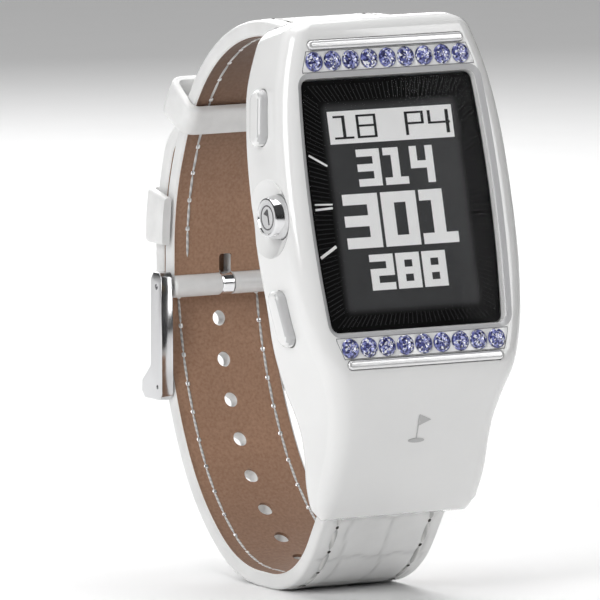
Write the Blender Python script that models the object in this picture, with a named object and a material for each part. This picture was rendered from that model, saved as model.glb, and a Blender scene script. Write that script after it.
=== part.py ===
"""Golf GPS watch: white barrel case on a buckled leather strap, standing on the strap.

World frame: metres, +Z up, the dial faces -Y (leaning back a little), the buttons are
on the -X side. The origin is the middle of the short flat stretch under the strap.
Case pieces are modelled in the case's own frame: x to the right, y into the case from
the glass surface, z up along the dial, with its origin at the middle of the glass.
All sizes below are in millimetres and are turned into metres when a mesh is made.
"""
import math

import bmesh
import bpy
from mathutils import Matrix, Vector

MM = 0.001

# Case
TILT = 14.5                      # lean of the dial, degrees
GLASS_CENTRE = (0.0, -22.1, 55.6)
FRONT_Y = -0.5                   # crest around the glass
# (z, half width, front y, back y) from the top end to the tip of the lower lug
CASE_STATIONS = [
    (26.0, 13.8, -0.5, 9.4),
    (23.0, 15.0, -0.5, 10.1),
    (18.0, 16.5, -0.5, 11.0),
    (12.0, 17.5, -0.5, 11.0),
    (5.0, 18.0, -0.5, 11.0),
    (-5.0, 18.1, -0.5, 11.0),
    (-12.0, 17.7, -0.5, 11.0),
    (-18.0, 16.8, -0.5, 12.2),
    (-23.3, 15.1, -0.45, 13.5),
    (-27.0, 13.7, 1.5, 14.0),
    (-30.0, 13.0, 3.4, 14.2),
    (-33.0, 12.8, 5.2, 14.5),
    (-36.0, 12.9, 7.1, 14.8),
    (-38.5, 12.8, 9.0, 14.9),
    (-40.3, 12.5, 10.9, 14.9),
    (-41.3, 12.1, 12.3, 14.8),
]
FRONT_RADIUS = 2.8
BACK_RADIUS = 1.2
END_RADIUS = 2.2
TOE_RADIUS = 0.8
WALL = 3.0
LEDGE_Y = 2.1                    # inner face of the front wall
CAVITY_TOP = 16.5
CAVITY_BOTTOM = -29.3
REAR_HEIGHTS = [17.25, 12.0, 6.0, 0.0, -6.0, -10.0, -14.0, -18.0, -22.0, -26.0, -30.05]

# Glass and dial
GLASS_HALF_WIDTH = 14.4
GLASS_CORNER_HALF_WIDTH = 13.6
GLASS_HALF_HEIGHT = 17.5
GLASS_CORNER = 1.2
GLASS_THICK = 1.1
BEVEL = 0.9
FIT = 0.12                       # assembly gap between fixed pieces

# Back cover
COVER_TOP = 19.6
COVER_BOTTOM = -32.8
COVER_INSET = 1.5
COVER_SINK = 0.55
COVER_PROUD = 0.3
SCREW_PLACES = [(-10.6, 18.05), (10.6, 18.05), (-8.2, -31.0), (8.2, -31.0)]
CONTACT_X = [-4.5, -1.5, 1.5, 4.5]
CONTACT_Z = 4.0

# Stones
STONE_COUNT = 9
STONE_PITCH = 2.9
STONE_RADIUS = 1.24
STONE_Z = 19.85
TRAY_INNER_Z = 18.45
TRAY_OUTER_Z = 21.25
TRAY_INNER_HALF = 13.5
TRAY_OUTER_HALF = 12.6
TRIM_Z = 22.15
TRIM_HALF = 12.3
TRIM_WIDTH = 1.25
TRAY_DEPTH = 0.6                 # back of the tray and of the trim bar
TRIM_DEPTH = 0.2

# Buttons on the left flank
BUTTON_Y = 4.8                   # crown
PUSHER_Y = {1: 5.7, -1: 6.2}     # upper and lower pusher
CROWN_Z = -0.5
PUSHER_OFFSET = 13.9             # above and below the crown
PUSHER_LENGTH = 7.8
PUSHER_WIDTH = 3.2
PUSHER_PROUD = 1.3
PUSHER_LEAN = 8.5                # follows the barrel outline, degrees
CROWN_RADIUS = 3.05
CROWN_PROUD = 0.95
CROWN_REACH = 1.4                # crown's inner face inside the flank
SCOOP_RADIUS = 9.0
SCOOP_CENTRE = (-25.2, 5.9)      # x and y of the recess round the crown
BUTTON_CLEAR = 0.1
STEM_RADIUS = 0.8
STEM_END = -12.6                 # inner end of each button's stem
SWITCH_X = (-11.95, -9.95)       # switch beyond the stem's 0.6 mm of travel
SWITCH_Y = (3.75, 6.8)
SWITCH_HALF = 1.5

# Strap loop, seen from the side; the arcs meet tangentially
SHORT_THICK = 2.3
LONG_THICK = 2.2
LAP_GAP = 0.42
LINING_THICK = 0.9
LAYER_GAP = 0.05
KEEPER_ARC = 36.8                # middle of the short strap at the keepers
KEEPER_SWEEP = 40.0
TIP_SWEEP = 30.0                 # the long strap's tip on the keeper arc
BUCKLE_DROP = 5.4                # buckle bar below the keeper arc's lower end
TOP_ARC = (27.4, 50.0)
LUG_ARC = (40.0, 12.1)
LONG_ARCS = [(57.0, 30.0), (35.0, 25.0), (20.0, 35.0)]
REST_LENGTH = 3.2
FRONT_ARC = (14.0, 57.0)
FRONT_STRAIGHT = 11.3
LUG_HALF_WIDTH = 9.8
BUCKLE_HALF_WIDTH = 8.55
TAPER_START = 20.0               # even width before and after the taper
TAPER_END = 6.0
STEP = 3.0                       # spacing of the strap's cross sections
BAR_RADIUS = 0.75
LUG_BAR_HALF = 10.6
LOOP_RADIUS = 1.6                # leather wrapped round a bar
BAR_INSET = 0.75                 # buckle bar towards the wrist from the strap's middle
TONGUE_ROOT = 0.6                # height of the tongue's root above its bar
HOLE_COUNT = 9
HOLE_PITCH = 5.95
HOLE_RADIUS = 1.1

# Buckle and keepers
ARM_INNER = 9.0
ARM_THICK = 1.9
TONGUE_WIDTH = 1.6
TONGUE_THICK = 0.9
CROSSBAR_RADIUS = 0.9
FIXED_KEEPER = (0.8, 11.6)       # angles on the keeper arc, degrees
FREE_KEEPER = (28.4, 35.8)
KEEPER_THICK = 1.1
KEEPER_GAP = 0.25
KEEPER_SIDE_GAP = 0.45


def clear_scene():
    for obj in list(bpy.data.objects):
        bpy.data.objects.remove(obj, do_unlink=True)
    for mesh in list(bpy.data.meshes):
        bpy.data.meshes.remove(mesh)


def material(name, colour, roughness, metallic=0.0, transmission=0.0):
    mat = bpy.data.materials.get(name)
    if mat:
        return mat
    mat = bpy.data.materials.new(name)
    mat.use_nodes = True
    bsdf = mat.node_tree.nodes["Principled BSDF"]
    bsdf.inputs["Base Color"].default_value = (*colour, 1.0)
    bsdf.inputs["Roughness"].default_value = roughness
    bsdf.inputs["Metallic"].default_value = metallic
    bsdf.inputs["Transmission Weight"].default_value = transmission
    return mat


def white_plastic():
    return material("white_plastic", (0.86, 0.86, 0.86), 0.25)


def black_plastic():
    return material("black_plastic", (0.02, 0.02, 0.02), 0.4)


def grey_plastic():
    return material("grey_plastic", (0.12, 0.12, 0.13), 0.45)


def steel():
    return material("steel", (0.75, 0.75, 0.77), 0.18, 1.0)


def silver():
    return material("silver", (0.85, 0.85, 0.86), 0.25, 1.0)


def gold():
    return material("gold", (0.85, 0.65, 0.3), 0.25, 1.0)


def crystal():
    return material("crystal", (0.2, 0.22, 0.6), 0.05)


def dark_glass():
    return material("dark_glass", (0.8, 0.82, 0.85), 0.03, 0.0, 0.9)


def white_leather():
    return material("white_leather", (0.84, 0.84, 0.83), 0.55)


def tan_leather():
    return material("tan_leather", (0.34, 0.2, 0.12), 0.7)


def rubber():
    return material("rubber", (0.05, 0.05, 0.05), 0.8)


def board_green():
    return material("board_green", (0.03, 0.18, 0.08), 0.5)


def display_grey():
    return material("display_grey", (0.07, 0.07, 0.07), 0.3)


# ---- general mesh helpers -------------------------------------------------------------

def finish_mesh(name, bm, mat, parent=None, origin=(0.0, 0.0, 0.0), smooth=30.0):
    """Turn a bmesh in millimetres into an object whose origin is the given point."""
    bmesh.ops.recalc_face_normals(bm, faces=bm.faces)
    bmesh.ops.translate(bm, verts=bm.verts, vec=-Vector(origin))
    bmesh.ops.scale(bm, verts=bm.verts, vec=(MM, MM, MM))
    mesh = bpy.data.meshes.new(name)
    bm.to_mesh(mesh)
    bm.free()
    mesh.shade_smooth()
    mesh.set_sharp_from_angle(angle=math.radians(smooth))
    obj = bpy.data.objects.new(name, mesh)
    bpy.context.scene.collection.objects.link(obj)
    if mat:
        obj.data.materials.append(mat)
    obj.parent = parent
    obj.location = Vector(origin) * MM
    return obj


def loft(bm, rings):
    """Skin closed rings of equal length, with flat caps on both ends."""
    loops = [[bm.verts.new(p) for p in ring] for ring in rings]
    count = len(loops[0])
    for a, b in zip(loops[:-1], loops[1:]):
        for i in range(count):
            j = (i + 1) % count
            bm.faces.new((a[i], a[j], b[j], b[i]))
    bm.faces.new(loops[0])
    bm.faces.new(list(reversed(loops[-1])))
    return bm


def loft_object(name, rings, mat, parent=None, origin=(0.0, 0.0, 0.0)):
    return finish_mesh(name, loft(bmesh.new(), rings), mat, parent, origin)


def prism_y(outline, y0, y1):
    """Rings of an x-z outline at two depths."""
    return [[(x, y0, z) for x, z in outline], [(x, y1, z) for x, z in outline]]


def prism_x(outline, x0, x1):
    """Rings of a y-z outline at two widths."""
    return [[(x0, y, z) for y, z in outline], [(x1, y, z) for y, z in outline]]


def box_object(name, x, y, z, mat, parent=None, bevel=0.0):
    outline = [(x[0], z[0]), (x[1], z[0]), (x[1], z[1]), (x[0], z[1])]
    obj = loft_object(name, prism_y(outline, *y), mat, parent)
    if bevel:
        add_bevel(obj, bevel)
    return obj


def circle(radius, count, centre=(0.0, 0.0), start=0.0):
    points = []
    for i in range(count):
        angle = start + math.tau * i / count
        points.append((centre[0] + radius * math.cos(angle), centre[1] + radius * math.sin(angle)))
    return points


def turned_x(profile, centre, count):
    """Rings about a line along X; profile is (x, radius) and centre is (y, z)."""
    return [[(x, y, z) for y, z in circle(radius, count, centre)] for x, radius in profile]


def turned_y(profile, centre, count):
    """Rings about a line along Y; profile is (y, radius) and centre is (x, z)."""
    return [[(x, y, z) for x, z in circle(radius, count, centre)] for y, radius in profile]


def add_bevel(obj, width, segments=1, angle=40.0):
    mod = obj.modifiers.new("edge_bevel", "BEVEL")
    mod.width = width * MM
    mod.segments = segments
    mod.limit_method = "ANGLE"
    mod.angle_limit = math.radians(angle)
    return mod


def cutter(name, rings, parent=None):
    obj = loft_object("cut_" + name, rings, None, parent)
    obj.hide_render = True
    obj.display_type = "WIRE"
    return obj


def boolean(obj, tool, operation="DIFFERENCE"):
    mod = obj.modifiers.new(operation.lower() + "_" + tool.name, "BOOLEAN")
    mod.operation = operation
    mod.object = tool
    return mod


# ---- outlines -------------------------------------------------------------------------

def lerp(a, b, t):
    return a + (b - a) * t


def smooth_through(points, key, column):
    """Smooth value through rows whose first entry falls steadily."""
    if key >= points[0][0]:
        return points[0][column]
    for i in range(len(points) - 1):
        z0, z1 = points[i][0], points[i + 1][0]
        if key >= z1:
            before = points[max(i - 1, 0)]
            after = points[min(i + 2, len(points) - 1)]
            slope0 = (points[i + 1][column] - before[column]) / (z1 - before[0])
            slope1 = (after[column] - points[i][column]) / (after[0] - z0)
            t = (key - z0) / (z1 - z0)
            span = z1 - z0
            h00 = 2 * t ** 3 - 3 * t ** 2 + 1
            h10 = t ** 3 - 2 * t ** 2 + t
            h01 = -2 * t ** 3 + 3 * t ** 2
            h11 = t ** 3 - t ** 2
            return (h00 * points[i][column] + h10 * span * slope0
                    + h01 * points[i + 1][column] + h11 * span * slope1)
    return points[-1][column]


def case_half_width(z):
    return smooth_through(CASE_STATIONS, z, 1)


def case_front(z):
    return smooth_through(CASE_STATIONS, z, 2)


def case_back(z):
    return smooth_through(CASE_STATIONS, z, 3)


def rounded_section(half, front, back, front_radius, back_radius, z, steps=5):
    """Closed x-y ring at height z with round corners."""
    depth = back - front
    front_radius = min(front_radius, depth * 0.48, half * 0.9)
    back_radius = min(back_radius, depth * 0.4, half * 0.9)
    corners = [
        (half - front_radius, front + front_radius, front_radius, -90.0),
        (half - back_radius, back - back_radius, back_radius, 0.0),
        (-half + back_radius, back - back_radius, back_radius, 90.0),
        (-half + front_radius, front + front_radius, front_radius, 180.0),
    ]
    ring = []
    for x, y, radius, start in corners:
        for i in range(steps + 1):
            angle = math.radians(start + 90.0 * i / steps)
            ring.append((x + radius * math.cos(angle), y + radius * math.sin(angle), z))
    return ring


def barrel_outline(half, corner_half, half_height, corner, grow=0.0, side_steps=10, corner_steps=4):
    """Straight top and bottom, bulging sides and small round corners, in x-z."""
    sag = half - corner_half
    top = half_height + grow
    radius = max(corner + grow, 0.3)
    reach = top - radius
    points = []
    for side in (1, -1):
        end_x = (half + grow - sag * (reach / half_height) ** 2) * side
        arc = [math.radians(90.0 * i / corner_steps) for i in range(1, corner_steps + 1)]
        for angle in reversed(arc):
            points.append((end_x - side * radius * (1 - math.cos(angle)),
                           -side * (reach + radius * math.sin(angle))))
        for i in range(side_steps + 1):
            z = lerp(-reach, reach, i / side_steps) * side
            points.append(((half + grow - sag * (z / half_height) ** 2) * side, z))
        for angle in arc:
            points.append((end_x - side * radius * (1 - math.cos(angle)),
                           side * (reach + radius * math.sin(angle))))
    return points


def glass_outline(grow=0.0):
    return barrel_outline(GLASS_HALF_WIDTH, GLASS_CORNER_HALF_WIDTH, GLASS_HALF_HEIGHT,
                          GLASS_CORNER, grow)


def stadium(half_length, radius, steps=6):
    """Slot outline along its first axis."""
    points = []
    for side in (1, -1):
        for i in range(steps + 1):
            angle = math.radians(-90.0 + 180.0 * i / steps)
            points.append((side * (half_length - radius + radius * math.cos(angle)),
                           side * radius * math.sin(angle)))
    return points


# ---- strap path -----------------------------------------------------------------------

def walk(point, heading, legs, turn):
    """Stations (y, z, heading, distance) along straights and tangent arcs.

    A leg is (length,) or (radius, degrees); turn is 1 to the left and -1 to the right.
    """
    y, z = point
    stations = [(y, z, heading, 0.0)]
    for leg in legs:
        if len(leg) == 1:
            count = max(1, round(leg[0] / STEP))
            for i in range(count):
                y += leg[0] / count * math.cos(math.radians(heading))
                z += leg[0] / count * math.sin(math.radians(heading))
                stations.append((y, z, heading, stations[-1][3] + leg[0] / count))
            continue
        radius, sweep = leg
        count = max(2, round(radius * math.radians(sweep) / STEP))
        side = math.radians(heading + 90.0 * turn)
        centre_y = y + radius * math.cos(side)
        centre_z = z + radius * math.sin(side)
        for i in range(count):
            heading += turn * sweep / count
            side = math.radians(heading - 90.0 * turn)
            y = centre_y + radius * math.cos(side)
            z = centre_z + radius * math.sin(side)
            stations.append((y, z, heading, stations[-1][3] + radius * math.radians(sweep) / count))
    return stations


def outward(station, turn):
    """Unit vector (y, z) away from the wrist."""
    angle = math.radians(station[2] - 90.0 * turn)
    return math.cos(angle), math.sin(angle)


def long_mid_radius():
    return KEEPER_ARC + SHORT_THICK / 2 + LAP_GAP + LONG_THICK / 2


def loop_rise(arcs):
    """How far the arcs carry the path in y and in z, starting from a vertical heading."""
    heading = 90.0
    y = z = 0.0
    for radius, sweep in arcs:
        nxt = heading - sweep
        y += radius * (math.sin(math.radians(heading)) - math.sin(math.radians(nxt)))
        z += radius * (math.cos(math.radians(nxt)) - math.cos(math.radians(heading)))
        heading = nxt
    return y, z


def arc_centre():
    rise_y, rise_z = loop_rise(LONG_ARCS)
    return (REST_LENGTH / 2 + rise_y - long_mid_radius(), LONG_THICK / 2 + rise_z)


def short_path():
    cy, cz = arc_centre()
    legs = [(BUCKLE_DROP,), (KEEPER_ARC, KEEPER_SWEEP), TOP_ARC, LUG_ARC]
    return walk((cy + KEEPER_ARC, cz - BUCKLE_DROP), 90.0, legs, 1)


def long_path():
    cy, cz = arc_centre()
    radius = long_mid_radius()
    tip = math.radians(TIP_SWEEP)
    start = (cy + radius * math.cos(tip), cz + radius * math.sin(tip))
    legs = [(radius, TIP_SWEEP)] + LONG_ARCS + [(REST_LENGTH,), FRONT_ARC, (FRONT_STRAIGHT,)]
    return walk(start, -90.0 + TIP_SWEEP, legs, -1)


def band_rings(stations, turn, half_width, inner, outer):
    """Rectangular cross sections, from inner to outer offset about the path."""
    rings = []
    for station in stations:
        ny, nz = outward(station, turn)
        half = half_width(station[3])
        y, z = station[0], station[1]
        rings.append([
            (-half, y + ny * inner, z + nz * inner),
            (half, y + ny * inner, z + nz * inner),
            (half, y + ny * outer, z + nz * outer),
            (-half, y + ny * outer, z + nz * outer),
        ])
    return rings


# ---- case -----------------------------------------------------------------------------

def case_rings():
    """Cross sections from the rounded top end to the thin toe of the lower lug."""
    top = CASE_STATIONS[0][0]
    toe = CASE_STATIONS[-1][0]
    rings = []
    for i in range(4):
        angle = math.radians(90.0 * (1 - i / 4))
        z = top - END_RADIUS * (1 - math.sin(angle))
        inset = END_RADIUS * (1 - math.cos(angle))
        rings.append(rounded_section(case_half_width(z) - inset, case_front(z) + inset,
                                     case_back(z) - inset * 0.5, FRONT_RADIUS, BACK_RADIUS, z))
    heights = [23.8, 21.5, 19.0, 15.5, 12.0, 8.0, 4.0, 0.0, -4.0, -8.0, -12.0, -16.0, -20.0,
               -22.5, -24.5, -26.5, -29.0, -31.5, -34.0, -36.0, -38.0, -39.5, -40.4, -41.0]
    for z in heights:
        rings.append(rounded_section(case_half_width(z), case_front(z), case_back(z),
                                     FRONT_RADIUS, BACK_RADIUS, z))
    rings.append(rounded_section(case_half_width(toe) - TOE_RADIUS, case_front(toe) + 0.3,
                                 case_back(toe) - 0.3, FRONT_RADIUS, BACK_RADIUS, toe - 0.35))
    return rings


def inner_rings(heights, inset, front, back, corner=1.0):
    """Cross sections inside the case; front and back are functions of z."""
    return [rounded_section(case_half_width(z) - inset, front(z), back(z), corner, corner, z, 2)
            for z in heights]


def strap_pocket(name, stations, turn, thick):
    """Room for a strap's end and the leather wrapped round its bar."""
    reach = thick / 2 + 0.3
    rings = band_rings(stations, turn, lambda s: LUG_HALF_WIDTH + 0.35, -reach, reach)
    tool = cutter(name, rings)
    bar = stations[0] if stations[0][3] > stations[-1][3] else stations[-1]
    round_end = cutter(name + "_end", turned_x([(-LUG_HALF_WIDTH - 0.35, LOOP_RADIUS + 0.28),
                                                (LUG_HALF_WIDTH + 0.35, LOOP_RADIUS + 0.28)],
                                               bar[:2], 20))
    return [tool, round_end]


def case_body(frame, short, long):
    body = loft_object("case_body", case_rings(), white_plastic(), frame)
    bevel_cut = cutter("glass_bevel", [
        [(x, FRONT_Y - 0.3, z) for x, z in glass_outline(BEVEL + 0.3)],
        [(x, FRONT_Y, z) for x, z in glass_outline(BEVEL)],
        [(x, 0.05, z) for x, z in glass_outline(FIT)],
        [(x, GLASS_THICK + 0.35, z) for x, z in glass_outline(FIT)],
    ], frame)
    window = cutter("window", prism_y(glass_outline(-1.3), 0.5, LEDGE_Y + 1.0), frame)
    heights = [CAVITY_TOP, 12.0, 6.0, 0.0, -6.0, -12.0, -18.0, -22.0, -25.0, CAVITY_BOTTOM]
    cavity = cutter("cavity", inner_rings(heights, WALL, lambda z: max(LEDGE_Y, case_front(z) + 2.0),
                                          lambda z: case_back(z) + 3.0), frame)
    heights = [COVER_TOP] + REAR_HEIGHTS + [COVER_BOTTOM]
    seat = cutter("cover_seat", inner_rings(heights, COVER_INSET - FIT,
                                            lambda z: case_back(z) - COVER_SINK - 0.3,
                                            lambda z: case_back(z) + 3.0, 0.15), frame)
    for tool in (bevel_cut, window, cavity, seat):
        boolean(body, tool)
    for side in (1, -1):
        tray_seat = prism_y(tray_outline(side, FIT), FRONT_Y - 1.0, TRAY_DEPTH + 0.15)
        trim_seat = prism_y(trim_outline(side, FIT), FRONT_Y - 1.0, TRIM_DEPTH + 0.1)
        boolean(body, cutter("tray_seat_%d" % side, tray_seat, frame))
        boolean(body, cutter("trim_seat_%d" % side, trim_seat, frame))
    for tool in strap_pocket("top_pocket", short[-6:], 1, SHORT_THICK):
        boolean(body, tool)
    for tool in strap_pocket("lug_pocket", long[-6:], -1, LONG_THICK):
        boolean(body, tool)
    for name, station in (("top", short[-1]), ("lug", long[-1])):
        bar_hole = [(-LUG_BAR_HALF - 0.1, BAR_RADIUS + 0.08), (LUG_BAR_HALF + 0.1, BAR_RADIUS + 0.08)]
        boolean(body, cutter(name + "_bar_hole", turned_x(bar_hole, station[:2], 12)))
    scoop = bmesh.new()
    bmesh.ops.create_uvsphere(scoop, u_segments=28, v_segments=16, radius=SCOOP_RADIUS,
                              matrix=Matrix.Translation((*SCOOP_CENTRE, CROWN_Z)))
    scoop_tool = finish_mesh("cut_crown_scoop", scoop, None, frame)
    scoop_tool.hide_render = True
    scoop_tool.display_type = "WIRE"
    boolean(body, scoop_tool)
    for tool in button_seats(frame):
        boolean(body, tool)
    for index, (x, z) in enumerate(SCREW_PLACES):
        back = case_back(z)
        boolean(body, cutter("screw_hole_%d" % index, turned_y([(back - 5.0, 0.6), (back + 1.0, 0.6)],
                                                               (x, z), 10), frame))
    return body


def back_cover(frame):
    heights = [COVER_TOP - FIT] + REAR_HEIGHTS + [COVER_BOTTOM + FIT]
    cover = loft_object("back_cover", inner_rings(heights, COVER_INSET,
                                                  lambda z: case_back(z) - COVER_SINK,
                                                  lambda z: case_back(z) + COVER_PROUD, 0.35),
                        grey_plastic(), frame)
    for index, (x, z) in enumerate(SCREW_PLACES):
        back = case_back(z)
        profile = [(back - 2.0, 0.7), (back - 0.2, 0.7), (back - 0.2, 1.25), (back + 2.0, 1.25)]
        boolean(cover, cutter("cover_screw_%d" % index, turned_y(profile, (x, z), 12), frame))
    for index, x in enumerate(CONTACT_X):
        back = case_back(CONTACT_Z)
        boolean(cover, cutter("contact_hole_%d" % index,
                              turned_y([(back - 2.0, 0.82), (back + 2.0, 0.82)], (x, CONTACT_Z), 12),
                              frame))
    return cover


def back_gasket(frame):
    gasket = loft_object("back_gasket", inner_rings(REAR_HEIGHTS, WALL - 0.75,
                                                    lambda z: case_back(z) - COVER_SINK - 0.26,
                                                    lambda z: case_back(z) - COVER_SINK - 0.04, 0.1),
                         rubber(), frame)
    heights = [CAVITY_TOP] + REAR_HEIGHTS[1:-1] + [CAVITY_BOTTOM]
    boolean(gasket, cutter("gasket_opening", inner_rings(heights, WALL + 0.05,
                                                         lambda z: case_back(z) - 3.0,
                                                         lambda z: case_back(z) + 1.0, 0.5), frame))
    return gasket


def screws(frame):
    for index, (x, z) in enumerate(SCREW_PLACES):
        back = case_back(z)
        profile = [(back - 4.2, 0.5), (back - 0.1, 0.5), (back - 0.1, 1.15), (back + 0.35, 1.0)]
        loft_object("case_screw_%d" % (index + 1), turned_y(profile, (x, z), 12), steel(), frame,
                    (x, back, z))


def charge_contacts(frame):
    back = case_back(CONTACT_Z)
    for index, x in enumerate(CONTACT_X):
        profile = [(back - 0.8, 0.7), (back + COVER_PROUD + 0.1, 0.7)]
        loft_object("charge_contact_%d" % (index + 1), turned_y(profile, (x, CONTACT_Z), 12), gold(),
                    frame, (x, back, CONTACT_Z))


# ---- glass, dial and inside -----------------------------------------------------------

def dial_stack(frame):
    lens = loft_object("lens", prism_y(glass_outline(), 0.0, GLASS_THICK), dark_glass(), frame)
    add_bevel(lens, 0.12)
    gasket = loft_object("lens_gasket", prism_y(glass_outline(-0.1), GLASS_THICK + 0.03, GLASS_THICK + 0.3),
                         rubber(), frame)
    boolean(gasket, cutter("gasket_window", prism_y(glass_outline(-1.2), 0.5, 2.5), frame))
    mask = loft_object("dial_mask", prism_y(glass_outline(-1.45), GLASS_THICK + 0.05, GLASS_THICK + 0.35),
                       black_plastic(), frame)
    window = [(-10.2, -14.3), (10.2, -14.3), (10.2, 13.5), (-10.2, 13.5)]
    boolean(mask, cutter("mask_window", prism_y(window, 0.5, 2.5), frame))
    box_object("lcd_panel", (-11.4, 11.4), (1.6, 2.8), (-15.4, 14.6), display_grey(), frame)
    box_object("backlight", (-11.2, 11.2), (2.95, 3.4), (-15.2, 14.4), white_plastic(), frame)


def inside_pieces(frame):
    box_object("battery", (-11.2, 11.2), (7.9, 9.6), (-9.5, 15.5), silver(), frame, 0.4)
    box_object("main_board", (-11.8, 11.8), (6.9, 7.7), (-16.5, 15.8), board_green(), frame)
    box_object("gps_antenna", (-6.0, 6.0), (7.2, 10.4), (-28.4, -17.2), gold(), frame, 0.3)
    box_object("gps_module", (-5.5, 5.5), (4.9, 6.8), (-14.0, -3.0), silver(), frame, 0.2)
    for name, step in (("upper", 1), ("middle", 0), ("lower", -1)):
        z = CROWN_Z + step * PUSHER_OFFSET
        box_object(name + "_key_switch", SWITCH_X, SWITCH_Y, (z - SWITCH_HALF, z + SWITCH_HALF),
                   black_plastic(), frame)


# ---- stones and trim ------------------------------------------------------------------

def tray_outline(side, grow=0.0):
    """Trapezoid with its wide edge at the glass."""
    inner = (TRAY_INNER_Z - grow) * side
    outer = (TRAY_OUTER_Z + grow) * side
    wide = TRAY_INNER_HALF + grow
    narrow = TRAY_OUTER_HALF + grow
    cut = 0.4
    return [(-wide, inner), (wide, inner), (wide, inner + cut * side),
            (narrow, outer), (-narrow, outer), (-wide, inner + cut * side)]


def trim_outline(side, grow=0.0):
    radius = TRIM_WIDTH / 2 + grow
    return [(x, side * TRIM_Z + z) for x, z in stadium(TRIM_HALF + grow, radius)]


def stone_centres(side):
    first = -STONE_PITCH * (STONE_COUNT - 1) / 2
    return [(first + STONE_PITCH * i, side * STONE_Z) for i in range(STONE_COUNT)]


def stone_row(frame, label, side):
    tray = loft_object(label + "_stone_tray", prism_y(tray_outline(side), FRONT_Y - 0.05, TRAY_DEPTH),
                       silver(), frame)
    for index, centre in enumerate(stone_centres(side)):
        boolean(tray, cutter("%s_seat_%d" % (label, index),
                             turned_y([(-2.0, STONE_RADIUS + 0.04), (2.0, STONE_RADIUS + 0.04)],
                                      centre, 12), frame))
        girdle = FRONT_Y - 0.05
        profile = [(girdle - 0.35, 0.7), (girdle - 0.05, STONE_RADIUS), (girdle + 0.05, STONE_RADIUS),
                   (girdle + 0.95, 0.12)]
        loft_object("%s_stone_%d" % (label, index + 1), turned_y(profile, centre, 12), crystal(),
                    frame, (centre[0], girdle, centre[1]))
    trim = loft_object(label + "_trim_bar", prism_y(trim_outline(side), FRONT_Y - 0.35, TRIM_DEPTH),
                       steel(), frame)
    add_bevel(trim, 0.2)


# ---- buttons --------------------------------------------------------------------------

def pusher_shell(z):
    """Outer x of the case flank at the height of a pusher."""
    return -case_half_width(z)


def pusher_outline(side, grow):
    """Slot outline in y-z for the upper (1) or lower (-1) pusher."""
    z = CROWN_Z + side * PUSHER_OFFSET
    slot = stadium(PUSHER_LENGTH / 2 + grow, PUSHER_WIDTH / 2 + grow)
    return [(PUSHER_Y[side] + b, z + a) for a, b in slot]


def button_seats(frame):
    tools = []
    for side, label in ((1, "upper"), (-1, "lower")):
        shell = pusher_shell(CROWN_Z + side * PUSHER_OFFSET)
        tools.append(cutter(label + "_pusher_seat",
                            prism_x(pusher_outline(side, BUTTON_CLEAR), shell - 3.0, shell + 1.25), frame))
        tools.append(cutter(label + "_stem_hole",
                            turned_x([(shell - 1.0, STEM_RADIUS + 0.06), (shell + 4.0, STEM_RADIUS + 0.06)],
                                     (PUSHER_Y[side], CROWN_Z + side * PUSHER_OFFSET), 12), frame))
    shell = pusher_shell(CROWN_Z)
    tools.append(cutter("crown_seat", turned_x([(shell - 4.0, CROWN_RADIUS + BUTTON_CLEAR),
                                                (shell + CROWN_REACH + 0.75, CROWN_RADIUS + BUTTON_CLEAR)],
                                               (BUTTON_Y, CROWN_Z), 24), frame))
    tools.append(cutter("crown_stem_hole", turned_x([(shell - 1.0, STEM_RADIUS + 0.06),
                                                     (shell + 4.0, STEM_RADIUS + 0.06)],
                                                    (BUTTON_Y, CROWN_Z), 12), frame))
    return tools


def pusher(frame, label, side):
    z = CROWN_Z + side * PUSHER_OFFSET
    shell = pusher_shell(z)
    lean = math.tan(math.radians(PUSHER_LEAN)) * side
    rings = []
    for x, grow in ((shell + 0.5, 0.0), (shell - PUSHER_PROUD * 0.55, 0.0), (shell - PUSHER_PROUD, -0.55)):
        ring = []
        for y, zz in pusher_outline(side, grow):
            shift = (zz - z) * lean if x < shell else 0.0
            ring.append((x + shift, y, zz))
        rings.append(ring)
    cap = loft_object(label + "_button", rings, white_plastic(), frame, (shell, PUSHER_Y[side], z))
    stem = cutter(label + "_stem", turned_x([(shell + 0.3, STEM_RADIUS), (STEM_END, STEM_RADIUS)],
                                            (PUSHER_Y[side], z), 12), frame)
    boolean(cap, stem, "UNION")


def crown(frame):
    shell = pusher_shell(CROWN_Z)
    profile = [(shell + CROWN_REACH, CROWN_RADIUS), (shell + 0.2, CROWN_RADIUS),
               (shell - CROWN_PROUD + 0.15, CROWN_RADIUS - 0.35),
               (shell - CROWN_PROUD, CROWN_RADIUS - 0.55)]
    cap = loft_object("crown_button", turned_x(profile, (BUTTON_Y, CROWN_Z), 24), steel(), frame,
                      (shell, BUTTON_Y, CROWN_Z))
    stem = cutter("crown_stem", turned_x([(shell + 0.5, STEM_RADIUS), (STEM_END, STEM_RADIUS)],
                                         (BUTTON_Y, CROWN_Z), 12), frame)
    boolean(cap, stem, "UNION")


# ---- strap, buckle and keepers --------------------------------------------------------

def taper(length):
    """Half width from the buckle end (0) to the lug end of a strap piece."""
    def half_width(s):
        t = (s - TAPER_START) / (length - TAPER_START - TAPER_END)
        return lerp(BUCKLE_HALF_WIDTH, LUG_HALF_WIDTH, min(max(t, 0.0), 1.0))
    return half_width


def tip_taper(length):
    """As taper, with a rounded tip over the first few millimetres."""
    body = taper(length)

    def half_width(s):
        if s < 7.0:
            return body(s) * math.sqrt(max(1 - ((7.0 - s) / 7.6) ** 2, 0.0))
        return body(s)
    return half_width


def refine(stations, centre, radius, limit):
    """Extra stations over the first millimetres of a path that starts on an arc."""
    extra = []
    for s in (0.0, 0.5, 1.2, 2.2, 3.4, 5.0):
        angle = math.radians(TIP_SWEEP) - s / radius
        extra.append((centre[0] + radius * math.cos(angle), centre[1] + radius * math.sin(angle),
                      math.degrees(angle) - 90.0, s))
    return extra + [station for station in stations if station[3] > limit]


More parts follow.
